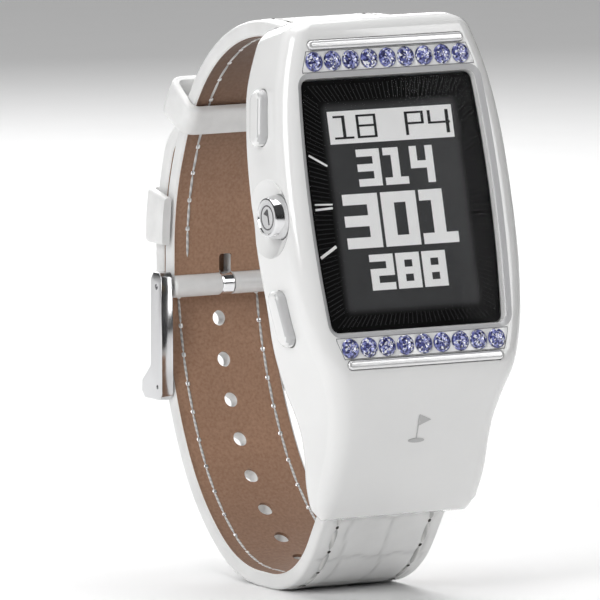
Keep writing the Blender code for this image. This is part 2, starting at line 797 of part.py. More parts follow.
def strap_layers(label, stations, turn, thick, half_width, mats):
    """Outer leather and lining as two solids a hair apart."""
    low = -thick / 2
    lining = loft_object("strap_%s_lining" % label,
                         band_rings(stations, turn, half_width, low, low + LINING_THICK), mats[1])
    outer = loft_object("strap_%s_outer" % label,
                        band_rings(stations, turn, half_width, low + LINING_THICK + LAYER_GAP, thick / 2),
                        mats[0])
    return outer, lining


def bar_loop(obj, name, station, half):
    """Leather wrapped round a bar: a tube joined to the outer layer, bored for the bar."""
    tube = cutter(name + "_tube", turned_x([(-half, LOOP_RADIUS), (half, LOOP_RADIUS)], station[:2], 20))
    boolean(obj, tube, "UNION")
    boolean(obj, bar_bore(name, station))


def bar_bore(name, station):
    return cutter(name + "_bore", turned_x([(-15.0, BAR_RADIUS + 0.06), (15.0, BAR_RADIUS + 0.06)],
                                           station[:2], 12))


def clear_of_loop(name, station, half=15.0):
    return cutter(name + "_clear", turned_x([(-half, LOOP_RADIUS + 0.05), (half, LOOP_RADIUS + 0.05)],
                                            station[:2], 20))


def buckle_bar_place(stations):
    return stations[0][0] - BAR_INSET, stations[0][1]


def strap_short(stations):
    length = stations[-1][3]
    outer, lining = strap_layers("short", stations, 1, SHORT_THICK, taper(length),
                                 (white_leather(), tan_leather()))
    ends = (("short_buckle", buckle_bar_place(stations), BUCKLE_HALF_WIDTH),
            ("short_lug", stations[-1], LUG_HALF_WIDTH))
    for name, station, half in ends:
        boolean(lining, clear_of_loop(name, station))
        bar_loop(outer, name, station, half)
    y, z = stations[0][:2]
    slot = [(-1.05, z - 4.0), (1.05, z - 4.0), (1.05, z + 4.2), (-1.05, z + 4.2)]
    for obj in (outer, lining):
        boolean(obj, cutter("tongue_slot_" + obj.name, prism_y(slot, y - 4.0, y + 4.0)))


def hole_stations(stations):
    """Places on the long strap's path where the holes go; the first takes the tongue."""
    radius = long_mid_radius()
    start = radius * math.radians(TIP_SWEEP) + BUCKLE_DROP - TONGUE_ROOT
    wanted = [start + HOLE_PITCH * i for i in range(HOLE_COUNT)]
    places = []
    for s in wanted:
        for a, b in zip(stations[:-1], stations[1:]):
            if a[3] <= s <= b[3]:
                t = (s - a[3]) / (b[3] - a[3])
                places.append(tuple(lerp(a[i], b[i], t) for i in range(4)))
                break
    return places


def hole_tool(name, station):
    ny, nz = outward(station, -1)
    ty, tz = -nz, ny
    rings = []
    for reach in (-2.5, 2.5):
        rings.append([(x, station[0] + ny * reach + ty * t, station[1] + nz * reach + tz * t)
                      for x, t in circle(HOLE_RADIUS, 12)])
    return cutter(name, rings)


def strap_long(stations):
    length = stations[-1][3]
    centre = arc_centre()
    fine = refine(stations, centre, long_mid_radius(), 6.0)
    outer, lining = strap_layers("long", fine, -1, LONG_THICK, tip_taper(length),
                                 (white_leather(), tan_leather()))
    boolean(lining, clear_of_loop("long_lug", stations[-1]))
    bar_loop(outer, "long_lug", stations[-1], LUG_HALF_WIDTH)
    for index, station in enumerate(hole_stations(stations)):
        tool = hole_tool("strap_hole_%d" % index, station)
        boolean(outer, tool)
        boolean(lining, tool)


def spring_bars(short, long):
    places = (("buckle_bar", buckle_bar_place(short), ARM_INNER + ARM_THICK * 0.6),
              ("upper_lug_bar", short[-1], LUG_BAR_HALF), ("lower_lug_bar", long[-1], LUG_BAR_HALF))
    for name, station, half in places:
        profile = [(-half, 0.5), (-half + 0.3, BAR_RADIUS), (half - 0.3, BAR_RADIUS), (half, 0.5)]
        loft_object(name, turned_x(profile, station[:2], 12), steel(), None, (0.0, *station[:2]))


def crossbar_place(bar):
    return bar[0] + 3.1, bar[1] - 14.6


def buckle_frame(bar):
    """Two side arms and a round crossbar outside the long strap."""
    y, z = bar[:2]
    cy, cz = crossbar_place(bar)
    inner, outer = ARM_INNER, ARM_INNER + ARM_THICK
    outline = [(y - 1.4, z + 1.4), (y - 0.8, z + 2.1), (y + 0.8, z + 2.1), (y + 1.6, z + 1.2),
               (y + 1.7, cz + 3.5), (cy + 1.0, cz + 1.2), (cy + 1.1, cz - 0.3), (cy + 0.2, cz - 1.2),
               (y - 0.9, cz - 1.2), (y - 1.5, cz - 0.4)]
    frame = loft_object("buckle_frame", prism_x(outline, -outer, -inner), steel(), None, (0.0, y, z))
    right = cutter("right_arm", prism_x(outline, inner, outer))
    cross = cutter("crossbar", turned_x([(-outer + 0.5, CROSSBAR_RADIUS), (outer - 0.5, CROSSBAR_RADIUS)],
                                        (cy, cz), 14))
    boolean(frame, right, "UNION")
    boolean(frame, cross, "UNION")
    boolean(frame, cutter("frame_bore", turned_x([(-ARM_INNER - ARM_THICK * 0.75, BAR_RADIUS + 0.06),
                                                  (ARM_INNER + ARM_THICK * 0.75, BAR_RADIUS + 0.06)],
                                                 (y, z), 12)))
    add_bevel(frame, 0.25, 1, 50.0)


def ribbon(points, thick, half_width):
    """A flat strip that follows y-z points, as cross sections."""
    rings = []
    for i, (y, z) in enumerate(points):
        before = points[max(i - 1, 0)]
        after = points[min(i + 1, len(points) - 1)]
        dy, dz = after[0] - before[0], after[1] - before[1]
        size = math.hypot(dy, dz)
        ny, nz = -dz / size * thick / 2, dy / size * thick / 2
        rings.append([(-half_width, y - ny, z - nz), (half_width, y - ny, z - nz),
                      (half_width, y + ny, z + nz), (-half_width, y + ny, z + nz)])
    return rings


def buckle_tongue(bar):
    """Ring on the bar, a root through the first hole and a prong down to the crossbar."""
    y, z = bar[:2]
    cy, cz = crossbar_place(bar)
    half = TONGUE_WIDTH / 2
    prong_y = cy + CROSSBAR_RADIUS + 0.75
    root = z + TONGUE_ROOT
    points = [(y + 1.0, root), (y + 3.0, root), (y + 4.8, root - 0.1), (y + 5.6, root - 1.0),
              (y + 5.7, root - 2.3), (lerp(y + 5.7, prong_y, 0.5), z - 7.5), (prong_y, cz + 1.5),
              (prong_y - 0.15, cz - 1.2)]
    tongue = loft_object("buckle_tongue", ribbon(points, TONGUE_THICK, half), steel(), None, (0.0, y, z))
    ring = cutter("tongue_ring", turned_x([(-half, 1.65), (half, 1.65)], (y, z), 16))
    boolean(tongue, ring, "UNION")
    boolean(tongue, cutter("tongue_bore", turned_x([(-2.0, BAR_RADIUS + 0.06), (2.0, BAR_RADIUS + 0.06)],
                                                   (y, z), 12)))


def arc_band(angles, centre, inner, outer, half, steps=4):
    """Sections of a band on the keeper arc."""
    rings = []
    for i in range(steps + 1):
        angle = math.radians(lerp(angles[0], angles[1], i / steps))
        c, s = math.cos(angle), math.sin(angle)
        rings.append([(-half, centre[0] + inner * c, centre[1] + inner * s),
                      (half, centre[0] + inner * c, centre[1] + inner * s),
                      (half, centre[0] + outer * c, centre[1] + outer * s),
                      (-half, centre[0] + outer * c, centre[1] + outer * s)])
    return rings


def keeper(name, angles, inner_room, inner_skin, outer_room, origin):
    """Leather hoop round the straps; inner_skin below inner_room leaves it open inside."""
    centre = arc_centre()
    side = BUCKLE_HALF_WIDTH + KEEPER_SIDE_GAP
    hoop = loft_object(name, arc_band(angles, centre, inner_skin, outer_room + KEEPER_THICK,
                                      side + KEEPER_THICK), white_leather(), None, origin)
    wide = (angles[0] - 2.0, angles[1] + 2.0)
    boolean(hoop, cutter(name + "_room", arc_band(wide, centre, inner_room, outer_room, side, 6)))
    add_bevel(hoop, 0.3, 1, 50.0)


def keepers():
    centre = arc_centre()
    outer_room = long_mid_radius() + LONG_THICK / 2 + KEEPER_GAP
    under = KEEPER_ARC - SHORT_THICK / 2
    keeper("fixed_keeper", FIXED_KEEPER, under - 1.0, under + 0.05, outer_room, (0.0, *centre))
    keeper("free_keeper", FREE_KEEPER, under - KEEPER_GAP, under - KEEPER_GAP - KEEPER_THICK,
           outer_room, (0.0, *centre))


def main():
    clear_scene()
    frame = bpy.data.objects.new("case_frame", None)
    bpy.context.scene.collection.objects.link(frame)
    frame.location = Vector(GLASS_CENTRE) * MM
    frame.rotation_euler = (math.radians(-TILT), 0.0, 0.0)
    short = short_path()
    long = long_path()
    case_body(frame, short, long)
    back_cover(frame)
    back_gasket(frame)
    screws(frame)
    charge_contacts(frame)
    dial_stack(frame)
    inside_pieces(frame)
    stone_row(frame, "upper", 1)
    stone_row(frame, "lower", -1)
    pusher(frame, "upper", 1)
    pusher(frame, "lower", -1)
    crown(frame)
    strap_short(short)
    strap_long(long)
    spring_bars(short, long)
    buckle_frame(buckle_bar_place(short))
    buckle_tongue(buckle_bar_place(short))
    keepers()


main()
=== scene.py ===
"""Visible golf GPS watch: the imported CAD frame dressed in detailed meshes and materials.

Sizes are in millimetres until mesh_object turns them into metres. Case pieces are made in
the case's own frame (x right, y into the case from the glass, z up along the dial).
"""
import math
import random

import bmesh
import bpy
from mathutils import Matrix, Vector


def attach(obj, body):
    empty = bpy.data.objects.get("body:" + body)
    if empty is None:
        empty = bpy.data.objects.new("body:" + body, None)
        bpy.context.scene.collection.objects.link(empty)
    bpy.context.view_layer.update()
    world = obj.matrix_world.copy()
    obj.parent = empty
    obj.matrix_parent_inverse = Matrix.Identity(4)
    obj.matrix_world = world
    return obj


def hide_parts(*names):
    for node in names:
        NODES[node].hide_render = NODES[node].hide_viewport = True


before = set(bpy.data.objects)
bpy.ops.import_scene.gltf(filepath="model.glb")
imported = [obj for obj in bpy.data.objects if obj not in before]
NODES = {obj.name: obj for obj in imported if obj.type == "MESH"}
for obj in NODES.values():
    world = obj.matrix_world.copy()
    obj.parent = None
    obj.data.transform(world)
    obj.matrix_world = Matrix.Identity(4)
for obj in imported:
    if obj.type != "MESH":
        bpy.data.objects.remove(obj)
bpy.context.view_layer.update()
MM = 0.001
TILT = 14.5
GLASS_CENTRE = (0.0, -22.1, 55.6)
CASE = Matrix.Translation(GLASS_CENTRE) @ Matrix.Rotation(math.radians(-TILT), 4, "X")
WORLD = Matrix.Identity(4)

# ---- measures shared with the part ----------------------------------------------------
FRONT_Y = -0.5
CASE_STATIONS = [
    (26.0, 13.8, -0.5, 9.4), (23.0, 15.0, -0.5, 10.1), (18.0, 16.5, -0.5, 11.0),
    (12.0, 17.5, -0.5, 11.0), (5.0, 18.0, -0.5, 11.0), (-5.0, 18.1, -0.5, 11.0),
    (-12.0, 17.7, -0.5, 11.0), (-18.0, 16.8, -0.5, 12.2), (-23.3, 15.1, -0.45, 13.5),
    (-27.0, 13.7, 1.5, 14.0), (-30.0, 13.0, 3.4, 14.2), (-33.0, 12.8, 5.2, 14.5),
    (-36.0, 12.9, 7.1, 14.8), (-38.5, 12.8, 9.0, 14.9), (-40.3, 12.5, 10.9, 14.9),
    (-41.3, 12.1, 12.3, 14.8),
]
FRONT_RADIUS, BACK_RADIUS, END_RADIUS, TOE_RADIUS = 2.8, 1.2, 2.2, 0.8
WALL, LEDGE_Y, CAVITY_TOP, CAVITY_BOTTOM = 3.0, 2.1, 16.5, -29.3
REAR_HEIGHTS = [17.25, 12.0, 6.0, 0.0, -6.0, -10.0, -14.0, -18.0, -22.0, -26.0, -30.05]
GLASS_HALF_WIDTH, GLASS_CORNER_HALF_WIDTH, GLASS_HALF_HEIGHT = 14.4, 13.6, 17.5
GLASS_CORNER, GLASS_THICK, BEVEL, FIT = 1.2, 1.1, 0.9, 0.12
COVER_TOP, COVER_BOTTOM, COVER_INSET, COVER_SINK = 19.6, -32.8, 1.5, 0.55
SCREW_PLACES = [(-10.6, 18.05), (10.6, 18.05), (-8.2, -31.0), (8.2, -31.0)]
STONE_COUNT, STONE_PITCH, STONE_Z = 9, 2.9, 19.85
TRAY_INNER_Z, TRAY_OUTER_Z, TRAY_INNER_HALF, TRAY_OUTER_HALF = 18.45, 21.25, 13.5, 12.6
TRIM_Z, TRIM_HALF, TRIM_WIDTH = 22.15, 12.3, 1.25
BUTTON_Y, CROWN_Z, PUSHER_OFFSET, PUSHER_LENGTH, PUSHER_WIDTH = 4.8, -0.5, 13.9, 7.8, 3.2
PUSHER_Y = {1: 5.7, -1: 6.2}
CROWN_PROUD, CROWN_REACH, SCOOP_RADIUS, SCOOP_CENTRE = 0.95, 1.4, 9.0, (-25.2, 5.9)
PUSHER_PROUD, PUSHER_LEAN, CROWN_RADIUS, BUTTON_CLEAR = 1.3, 8.5, 3.05, 0.1
STEM_RADIUS, STEM_END = 0.8, -12.6
SHORT_THICK, LONG_THICK, LAP_GAP = 2.3, 2.2, 0.42
KEEPER_ARC, KEEPER_SWEEP, TIP_SWEEP, BUCKLE_DROP = 36.8, 40.0, 30.0, 5.4
TOP_ARC, LUG_ARC = (27.4, 50.0), (40.0, 12.1)
LONG_ARCS = [(57.0, 30.0), (35.0, 25.0), (20.0, 35.0)]
REST_LENGTH, FRONT_ARC, FRONT_STRAIGHT = 3.2, (14.0, 57.0), 11.3
LUG_HALF_WIDTH, BUCKLE_HALF_WIDTH = 9.8, 8.55
STEP, TAPER_START, TAPER_END, TIP_LENGTH = 0.4, 20.0, 6.0, 7.0
BAR_RADIUS, LOOP_RADIUS, BAR_INSET, TONGUE_ROOT = 0.75, 1.6, 0.75, 0.6
BAR_BORE, LOOP_CLEAR, STEM_BORE = BAR_RADIUS + 0.06, LOOP_RADIUS + 0.05, STEM_RADIUS + 0.06
PAST_STRAP, SEAT_GAP, BAR_SOCKET_REACH, SCREW_RADIUS = 15.0, 0.35, 10.7, 0.6
HOLE_COUNT, HOLE_PITCH, HOLE_RADIUS = 9, 5.95, 1.1
ARM_INNER, ARM_THICK, TONGUE_WIDTH, TONGUE_THICK, CROSSBAR_RADIUS = 9.0, 1.9, 1.6, 0.9, 0.9
FIXED_KEEPER, FREE_KEEPER = (0.8, 11.6), (28.4, 35.8)
KEEPER_THICK, KEEPER_GAP, KEEPER_SIDE_GAP = 1.1, 0.25, 0.45


# ---- mesh helpers ---------------------------------------------------------------------
def mesh_object(name, bm, mat, place=WORLD, smooth=30.0):
    """Turn a bmesh in millimetres into an object with its vertices in the world frame."""
    bmesh.ops.recalc_face_normals(bm, faces=bm.faces)
    bm.transform(Matrix.Scale(MM, 4) @ place)
    mesh = bpy.data.meshes.new(name)
    bm.to_mesh(mesh)
    bm.free()
    if smooth:
        mesh.shade_smooth()
        mesh.set_sharp_from_angle(angle=math.radians(smooth))
    obj = bpy.data.objects.new(name, mesh)
    bpy.context.scene.collection.objects.link(obj)
    if mat:
        obj.data.materials.append(mat)
    return obj


def vertices(bm, points):
    return [bm.verts.new(point) for point in points]


def bridge(bm, loops, closed=False):
    """Quads between neighbouring loops, and from the last to the first if closed."""
    for a, b in zip(loops, loops[1:] + loops[:1] if closed else loops[1:]):
        for i in range(len(a)):
            j = (i + 1) % len(a)
            bm.faces.new((a[i], a[j], b[j], b[i]))


def loft(bm, rings):
    """Closed solid through rings of points."""
    loops = [vertices(bm, ring) for ring in rings]
    bridge(bm, loops)
    bm.faces.new(loops[0])
    bm.faces.new(list(reversed(loops[-1])))
    return bm


def loft_object(name, rings, mat=None, place=WORLD, smooth=30.0):
    return mesh_object(name, loft(bmesh.new(), rings), mat, place, smooth)


def level(outline, y):
    return [(x, y, z) for x, z in outline]


def prism_y(outline, y0, y1):
    return [level(outline, y0), level(outline, y1)]


def prism_x(outline, x0, x1):
    return [[(x0, y, z) for y, z in outline], [(x1, y, z) for y, z in outline]]


def circle(radius, count, centre=(0.0, 0.0)):
    return [(centre[0] + radius * math.cos(math.tau * i / count),
             centre[1] + radius * math.sin(math.tau * i / count)) for i in range(count)]


def turned_x(profile, centre, count):
    return [[(x, y, z) for y, z in circle(radius, count, centre)] for x, radius in profile]


def rod_x(x0, x1, radius, centre, count):
    return prism_x(circle(radius, count, centre), x0, x1)


def rod_y(y0, y1, radius, centre, count):
    return prism_y(circle(radius, count, centre), y0, y1)


def arc(x, y, radius, start, ks, steps):
    """Chosen points of a quarter circle that turns clockwise from an angle in degrees."""
    angles = [math.radians(start - 90.0 * k / steps) for k in ks]
    return [(x + radius * math.cos(a), y + radius * math.sin(a)) for a in angles]


def bar(a, b, half, start=1.0):
    """Outline of a straight bar from a to b; start scales its width at a."""
    size = math.hypot(b[0] - a[0], b[1] - a[1])
    nx, nz = -(b[1] - a[1]) / size * half, (b[0] - a[0]) / size * half
    return [(a[0] - nx * start, a[1] - nz * start), (b[0] - nx, b[1] - nz),
            (b[0] + nx, b[1] + nz), (a[0] + nx * start, a[1] + nz * start)]


def cut(obj, rings, place=WORLD, operation="DIFFERENCE"):
    """Boolean against a lofted tool; the tool is removed by bake."""
    cut_with(obj, loft_object("tool", rings, None, place), operation)


def cut_with(obj, tool, operation="DIFFERENCE"):
    mod = obj.modifiers.new("bool", "BOOLEAN")
    mod.operation = operation
    mod.object = tool
    tool.hide_render = True


def soften(obj, width, segments=2, angle=40.0):
    mod = obj.modifiers.new("bevel", "BEVEL")
    mod.width = width * MM
    mod.segments = segments
    mod.limit_method = "ANGLE"
    mod.angle_limit = math.radians(angle)
    mod.use_clamp_overlap = True


def bake(obj, mat, smooth=35.0):
    """Apply every modifier, remove the tools they used and set one material."""
    tools = [m.object for m in obj.modifiers if m.type == "BOOLEAN"]
    bpy.context.view_layer.update()
    graph = bpy.context.evaluated_depsgraph_get()
    mesh = bpy.data.meshes.new_from_object(obj.evaluated_get(graph))
    obj.modifiers.clear()
    obj.data = mesh
    for tool in tools:
        bpy.data.objects.remove(tool)
    mesh.materials.clear()
    mesh.materials.append(mat)
    mesh.shade_smooth()
    mesh.set_sharp_from_angle(angle=math.radians(smooth))


def lerp(a, b, t):
    return a + (b - a) * t


def fade(value, start, stop):
    """Smooth step from 0 at start to 1 at stop."""
    t = min(max((value - start) / (stop - start), 0.0), 1.0)
    return t * t * (3 - 2 * t)


def smooth_through(points, key, column):
    """Cubic through one column of a table sorted by falling height."""
    if key >= points[0][0]:
        return points[0][column]
    for i in range(len(points) - 1):
        z0, z1 = points[i][0], points[i + 1][0]
        if key >= z1:
            before = points[max(i - 1, 0)]
            after = points[min(i + 2, len(points) - 1)]
            slope0 = (points[i + 1][column] - before[column]) / (z1 - before[0])
            slope1 = (after[column] - points[i][column]) / (after[0] - z0)
            t, span = (key - z0) / (z1 - z0), z1 - z0
            return ((2 * t ** 3 - 3 * t ** 2 + 1) * points[i][column]
                    + (t ** 3 - 2 * t ** 2 + t) * span * slope0
                    + (3 * t ** 2 - 2 * t ** 3) * points[i + 1][column]
                    + (t ** 3 - t ** 2) * span * slope1)
    return points[-1][column]


def case_half_width(z):
    return smooth_through(CASE_STATIONS, z, 1)


def case_front(z):
    return smooth_through(CASE_STATIONS, z, 2)


def case_back(z):
    return smooth_through(CASE_STATIONS, z, 3)


def rounded_section(half, front, back, front_radius, back_radius, z, steps=12):
    """Ring round the case at one height, with round corners."""
    depth = back - front
    front_radius = min(front_radius, depth * 0.48, half * 0.9)
    back_radius = min(back_radius, depth * 0.4, half * 0.9)
    corners = [(half - front_radius, front + front_radius, front_radius, -90.0),
               (half - back_radius, back - back_radius, back_radius, 0.0),
               (-half + back_radius, back - back_radius, back_radius, 90.0),
               (-half + front_radius, front + front_radius, front_radius, 180.0)]
    ring = []
    for x, y, radius, start in corners:
        for i in range(steps + 1):
            angle = math.radians(start + 90.0 * i / steps)
            ring.append((x + radius * math.cos(angle), y + radius * math.sin(angle), z))
    return ring


def glass_outline(grow=0.0, side_steps=28, corner_steps=8):
    """Straight top and bottom, bulging sides and small round corners, in x-z."""
    half, corner_half, half_height = GLASS_HALF_WIDTH, GLASS_CORNER_HALF_WIDTH, GLASS_HALF_HEIGHT
    sag = half - corner_half
    radius = max(GLASS_CORNER + grow, 0.3)
    reach = half_height + grow - radius
    points = []
    for side in (1, -1):
        end_x = (half + grow - sag * (reach / half_height) ** 2) * side
        arc = [math.radians(90.0 * i / corner_steps) for i in range(1, corner_steps + 1)]
        for angle in reversed(arc):
            points.append((end_x - side * radius * (1 - math.cos(angle)),
                           -side * (reach + radius * math.sin(angle))))
        for i in range(side_steps + 1):
            z = lerp(-reach, reach, i / side_steps) * side
            points.append(((half + grow - sag * (z / half_height) ** 2) * side, z))
        for angle in arc:
            points.append((end_x - side * radius * (1 - math.cos(angle)),
                           side * (reach + radius * math.sin(angle))))
    return points


def stadium(half_length, radius, steps=14):
    points = []
    for side in (1, -1):
        for i in range(steps + 1):
            angle = math.radians(-90.0 + 180.0 * i / steps)
            points.append((side * (half_length - radius + radius * math.cos(angle)),
                           side * radius * math.sin(angle)))
    return points


# ---- strap path, as in the part -------------------------------------------------------
def walk(point, heading, legs, turn):
    """Stations (y, z, heading, distance) along straights and tangent arcs."""
    y, z = point
    stations = [(y, z, heading, 0.0)]
    for leg in legs:
        if len(leg) == 1:
            count = max(1, round(leg[0] / STEP))
            for _ in range(count):
                y += leg[0] / count * math.cos(math.radians(heading))
                z += leg[0] / count * math.sin(math.radians(heading))
                stations.append((y, z, heading, stations[-1][3] + leg[0] / count))
            continue
        radius, sweep = leg
        count = max(2, round(radius * math.radians(sweep) / STEP))
        side = math.radians(heading + 90.0 * turn)
        cy, cz = y + radius * math.cos(side), z + radius * math.sin(side)
        for _ in range(count):
            heading += turn * sweep / count
            side = math.radians(heading - 90.0 * turn)
            y, z = cy + radius * math.cos(side), cz + radius * math.sin(side)
            stations.append((y, z, heading, stations[-1][3] + radius * math.radians(sweep) / count))
    return stations


def outward(station, turn):
    """Direction (y, z) from the wrist side of the strap to its outside."""
    angle = math.radians(station[2] - 90.0 * turn)
    return math.cos(angle), math.sin(angle)


def across(station, turn, profile):
    """Ring of points (x, n) at a station, n being the height from mid-thickness outward."""
    ny, nz = outward(station, turn)
    return [(x, station[0] + ny * n, station[1] + nz * n) for x, n in profile]


def long_mid_radius():
    return KEEPER_ARC + SHORT_THICK / 2 + LAP_GAP + LONG_THICK / 2


def arc_centre():
    """Centre (y, z) of the arc that carries the keepers."""
    heading, y, z = 90.0, 0.0, 0.0
    for radius, sweep in LONG_ARCS:
        nxt = heading - sweep
        y += radius * (math.sin(math.radians(heading)) - math.sin(math.radians(nxt)))
        z += radius * (math.cos(math.radians(nxt)) - math.cos(math.radians(heading)))
        heading = nxt
    return REST_LENGTH / 2 + y - long_mid_radius(), LONG_THICK / 2 + z


def short_path():
    cy, cz = arc_centre()
    legs = [(BUCKLE_DROP,), (KEEPER_ARC, KEEPER_SWEEP), TOP_ARC, LUG_ARC]
    return walk((cy + KEEPER_ARC, cz - BUCKLE_DROP), 90.0, legs, 1)


def long_path():
    cy, cz = arc_centre()
    radius, tip = long_mid_radius(), math.radians(TIP_SWEEP)
    start = (cy + radius * math.cos(tip), cz + radius * math.sin(tip))
    legs = [(radius, TIP_SWEEP)] + LONG_ARCS + [(REST_LENGTH,), FRONT_ARC, (FRONT_STRAIGHT,)]
    return walk(start, -90.0 + TIP_SWEEP, legs, -1)


SHORT, LONG = short_path(), long_path()
BAR = (SHORT[0][0] - BAR_INSET, SHORT[0][1])
CENTRE = arc_centre()


def at(stations, s):
    """Station interpolated at distance s."""
    for a, b in zip(stations[:-1], stations[1:]):
        if a[3] <= s <= b[3]:
            t = (s - a[3]) / (b[3] - a[3])
            return tuple(lerp(a[i], b[i], t) for i in range(4))
    return stations[-1] if s > stations[-1][3] else stations[0]


def taper(length):
    """Half width along a strap of one length, widening from the buckle to the lug."""
    def half_width(s):
        t = (s - TAPER_START) / (length - TAPER_START - TAPER_END)
        return lerp(BUCKLE_HALF_WIDTH, LUG_HALF_WIDTH, min(max(t, 0.0), 1.0))
    return half_width


def tip_taper(length):
    """As taper, with a round tip at the start."""
    body = taper(length)

    def half_width(s):
        t = max(TIP_LENGTH - s, 0.0) / 7.6
        return body(s) * math.sqrt(max(1 - t ** 2, 0.0))
    return half_width


# ---- materials ------------------------------------------------------------------------
class Shader:
    """A Principled material whose colour, roughness and bump come from nodes."""

    def __init__(self, name, **sockets):
        self.mat = bpy.data.materials.new(name)
        self.mat.use_nodes = True
        self.nodes = self.mat.node_tree.nodes
        self.links = self.mat.node_tree.links
        self.bsdf = self.nodes["Principled BSDF"]
        self.coords = self.add("ShaderNodeTexCoord").outputs["Object"]
        self.bumps = None
        self.put(self.bsdf, **sockets)

    def add(self, kind, **settings):
        node = self.nodes.new(kind)
        for key, value in settings.items():
            setattr(node, key, value)
        return node

    def wire(self, source, node, socket):
        if hasattr(source, "is_output"):
            self.links.new(source, node.inputs[socket])
        else:
            node.inputs[socket].default_value = source

    def put(self, node, **values):
        """Wire or set inputs; an underscore stands for a space in a socket's name."""
        for key, value in values.items():
            self.wire(value, node, key.replace("_", " "))
        return node

    def attribute(self, name, output="Fac"):
        return self.add("ShaderNodeAttribute", attribute_name=name).outputs[output]

    def noise(self, scale, detail=3.0, vector=None, distortion=0.0):
        return self.put(self.add("ShaderNodeTexNoise"), Vector=vector or self.coords, Scale=scale,
                        Detail=detail, Distortion=distortion).outputs["Fac"]

    def cells(self, scale):
        return self.put(self.add("ShaderNodeTexVoronoi"), Vector=self.coords,
                        Scale=scale).outputs["Distance"]

    def bands(self, direction, scale, distortion=0.0):
        node = self.add("ShaderNodeTexWave", wave_type="BANDS", bands_direction=direction)
        return self.put(node, Vector=self.coords, Scale=scale, Distortion=distortion).outputs["Fac"]

    def split(self, vector):
        return self.put(self.add("ShaderNodeSeparateXYZ"), Vector=vector).outputs

    def math(self, operation, a, b=0.0, c=0.0):
        node = self.add("ShaderNodeMath", operation=operation)
        self.wire(a, node, 0)
        self.wire(b, node, 1)
        if len(node.inputs) > 2:
            self.wire(c, node, 2)
        return node.outputs[0]

    def spread(self, value, low, high, start=0.0, stop=1.0):
        return self.put(self.add("ShaderNodeMapRange"), Value=value, From_Min=start, From_Max=stop,
                        To_Min=low, To_Max=high).outputs["Result"]

    def mix(self, factor, a, b):
        node = self.add("ShaderNodeMix", data_type="RGBA")
        self.wire(factor, node, 0)
        self.wire(a if hasattr(a, "is_output") else (*a, 1.0), node, 6)
        self.wire(b if hasattr(b, "is_output") else (*b, 1.0), node, 7)
        return node.outputs[2]

    def mottle(self, noise, a, b):
        """Blend two tones over the middle of a noise's range."""
        return self.mix(self.spread(noise, 0.0, 1.0, 0.3, 0.7), a, b)

    def colour(self, source):
        self.put(self.bsdf, Base_Color=source)

    def rough(self, source, low, high):
        self.put(self.bsdf, Roughness=self.spread(source, low, high, 0.3, 0.7))

    def bump(self, height, strength, distance):
        node = self.put(self.add("ShaderNodeBump"), Strength=strength, Distance=distance * MM,
                        Height=height)
        if self.bumps:
            self.put(node, Normal=self.bumps)
        self.bumps = node.outputs["Normal"]
        self.put(self.bsdf, Normal=self.bumps)


def moulded(name, colour, gloss=(0.1, 0.2), dark=0.92, **sockets):
    """Moulded plastic: faint flow marks, fine dust and a slightly uneven gloss."""
    s = Shader(name, **sockets)
    slow, fine = s.noise(90.0, 4.0), s.noise(2600.0, 2.0)
    s.colour(s.mottle(slow, tuple(c * dark for c in colour), colour))
    s.rough(s.noise(340.0, 5.0), *gloss)
    s.bump(fine, 0.12, 0.006)
    return s.mat


def metal(name, colour, gloss=(0.06, 0.16), brushed=0.0):
    """Polished or brushed metal with hairline marks and smudges."""
    s = Shader(name, Metallic=1.0)
    smudge = s.noise(220.0, 4.0)
    stretch = s.put(s.add("ShaderNodeMapping"), Vector=s.coords, Scale=(0.06, 1.0, 1.0))
    hair = s.noise(5200.0, 2.0, stretch.outputs["Vector"])
    s.colour(s.mix(s.spread(smudge, 0.0, 1.0, 0.35, 0.7), tuple(c * 0.9 for c in colour), colour))
    s.rough(smudge, *gloss)
    s.bump(hair, 0.04 + brushed, 0.004)
    return s.mat


def leather_white():
    """White embossed leather: painted shade darkening the creases, pores and a soft uneven coat."""
    s = Shader("leather_white_scaled", Coat_Weight=0.12, Coat_Roughness=0.35, Specular_IOR_Level=0.5)
    tone = s.mottle(s.noise(160.0, 5.0), (0.78, 0.78, 0.775), (0.86, 0.86, 0.855))
    # Painted shade: the crease attribute darkens the leather towards grey in the scale creases.
    s.colour(s.mix(s.spread(s.attribute("crease"), 0.0, 0.5), tone, (0.52, 0.52, 0.515)))
    s.rough(s.noise(700.0, 4.0), 0.30, 0.46)
    s.bump(s.cells(2300.0), 0.25, 0.02)
    s.bump(s.noise(1300.0, 5.0, None, 0.6), 0.4, 0.05)
    return s.mat


def leather_edge():
    """Painted leather edge and rolled keeper skin: smooth, slightly rippled white."""
    s = Shader("leather_edge_paint", Coat_Weight=0.18, Coat_Roughness=0.3)
    ripple = s.noise(420.0, 5.0)
    s.colour(s.mottle(ripple, (0.80, 0.80, 0.795), (0.88, 0.88, 0.875)))
    s.rough(s.noise(900.0, 3.0), 0.28, 0.42)
    s.bump(ripple, 0.3, 0.05)
    s.bump(s.cells(2600.0), 0.12, 0.012)
    return s.mat


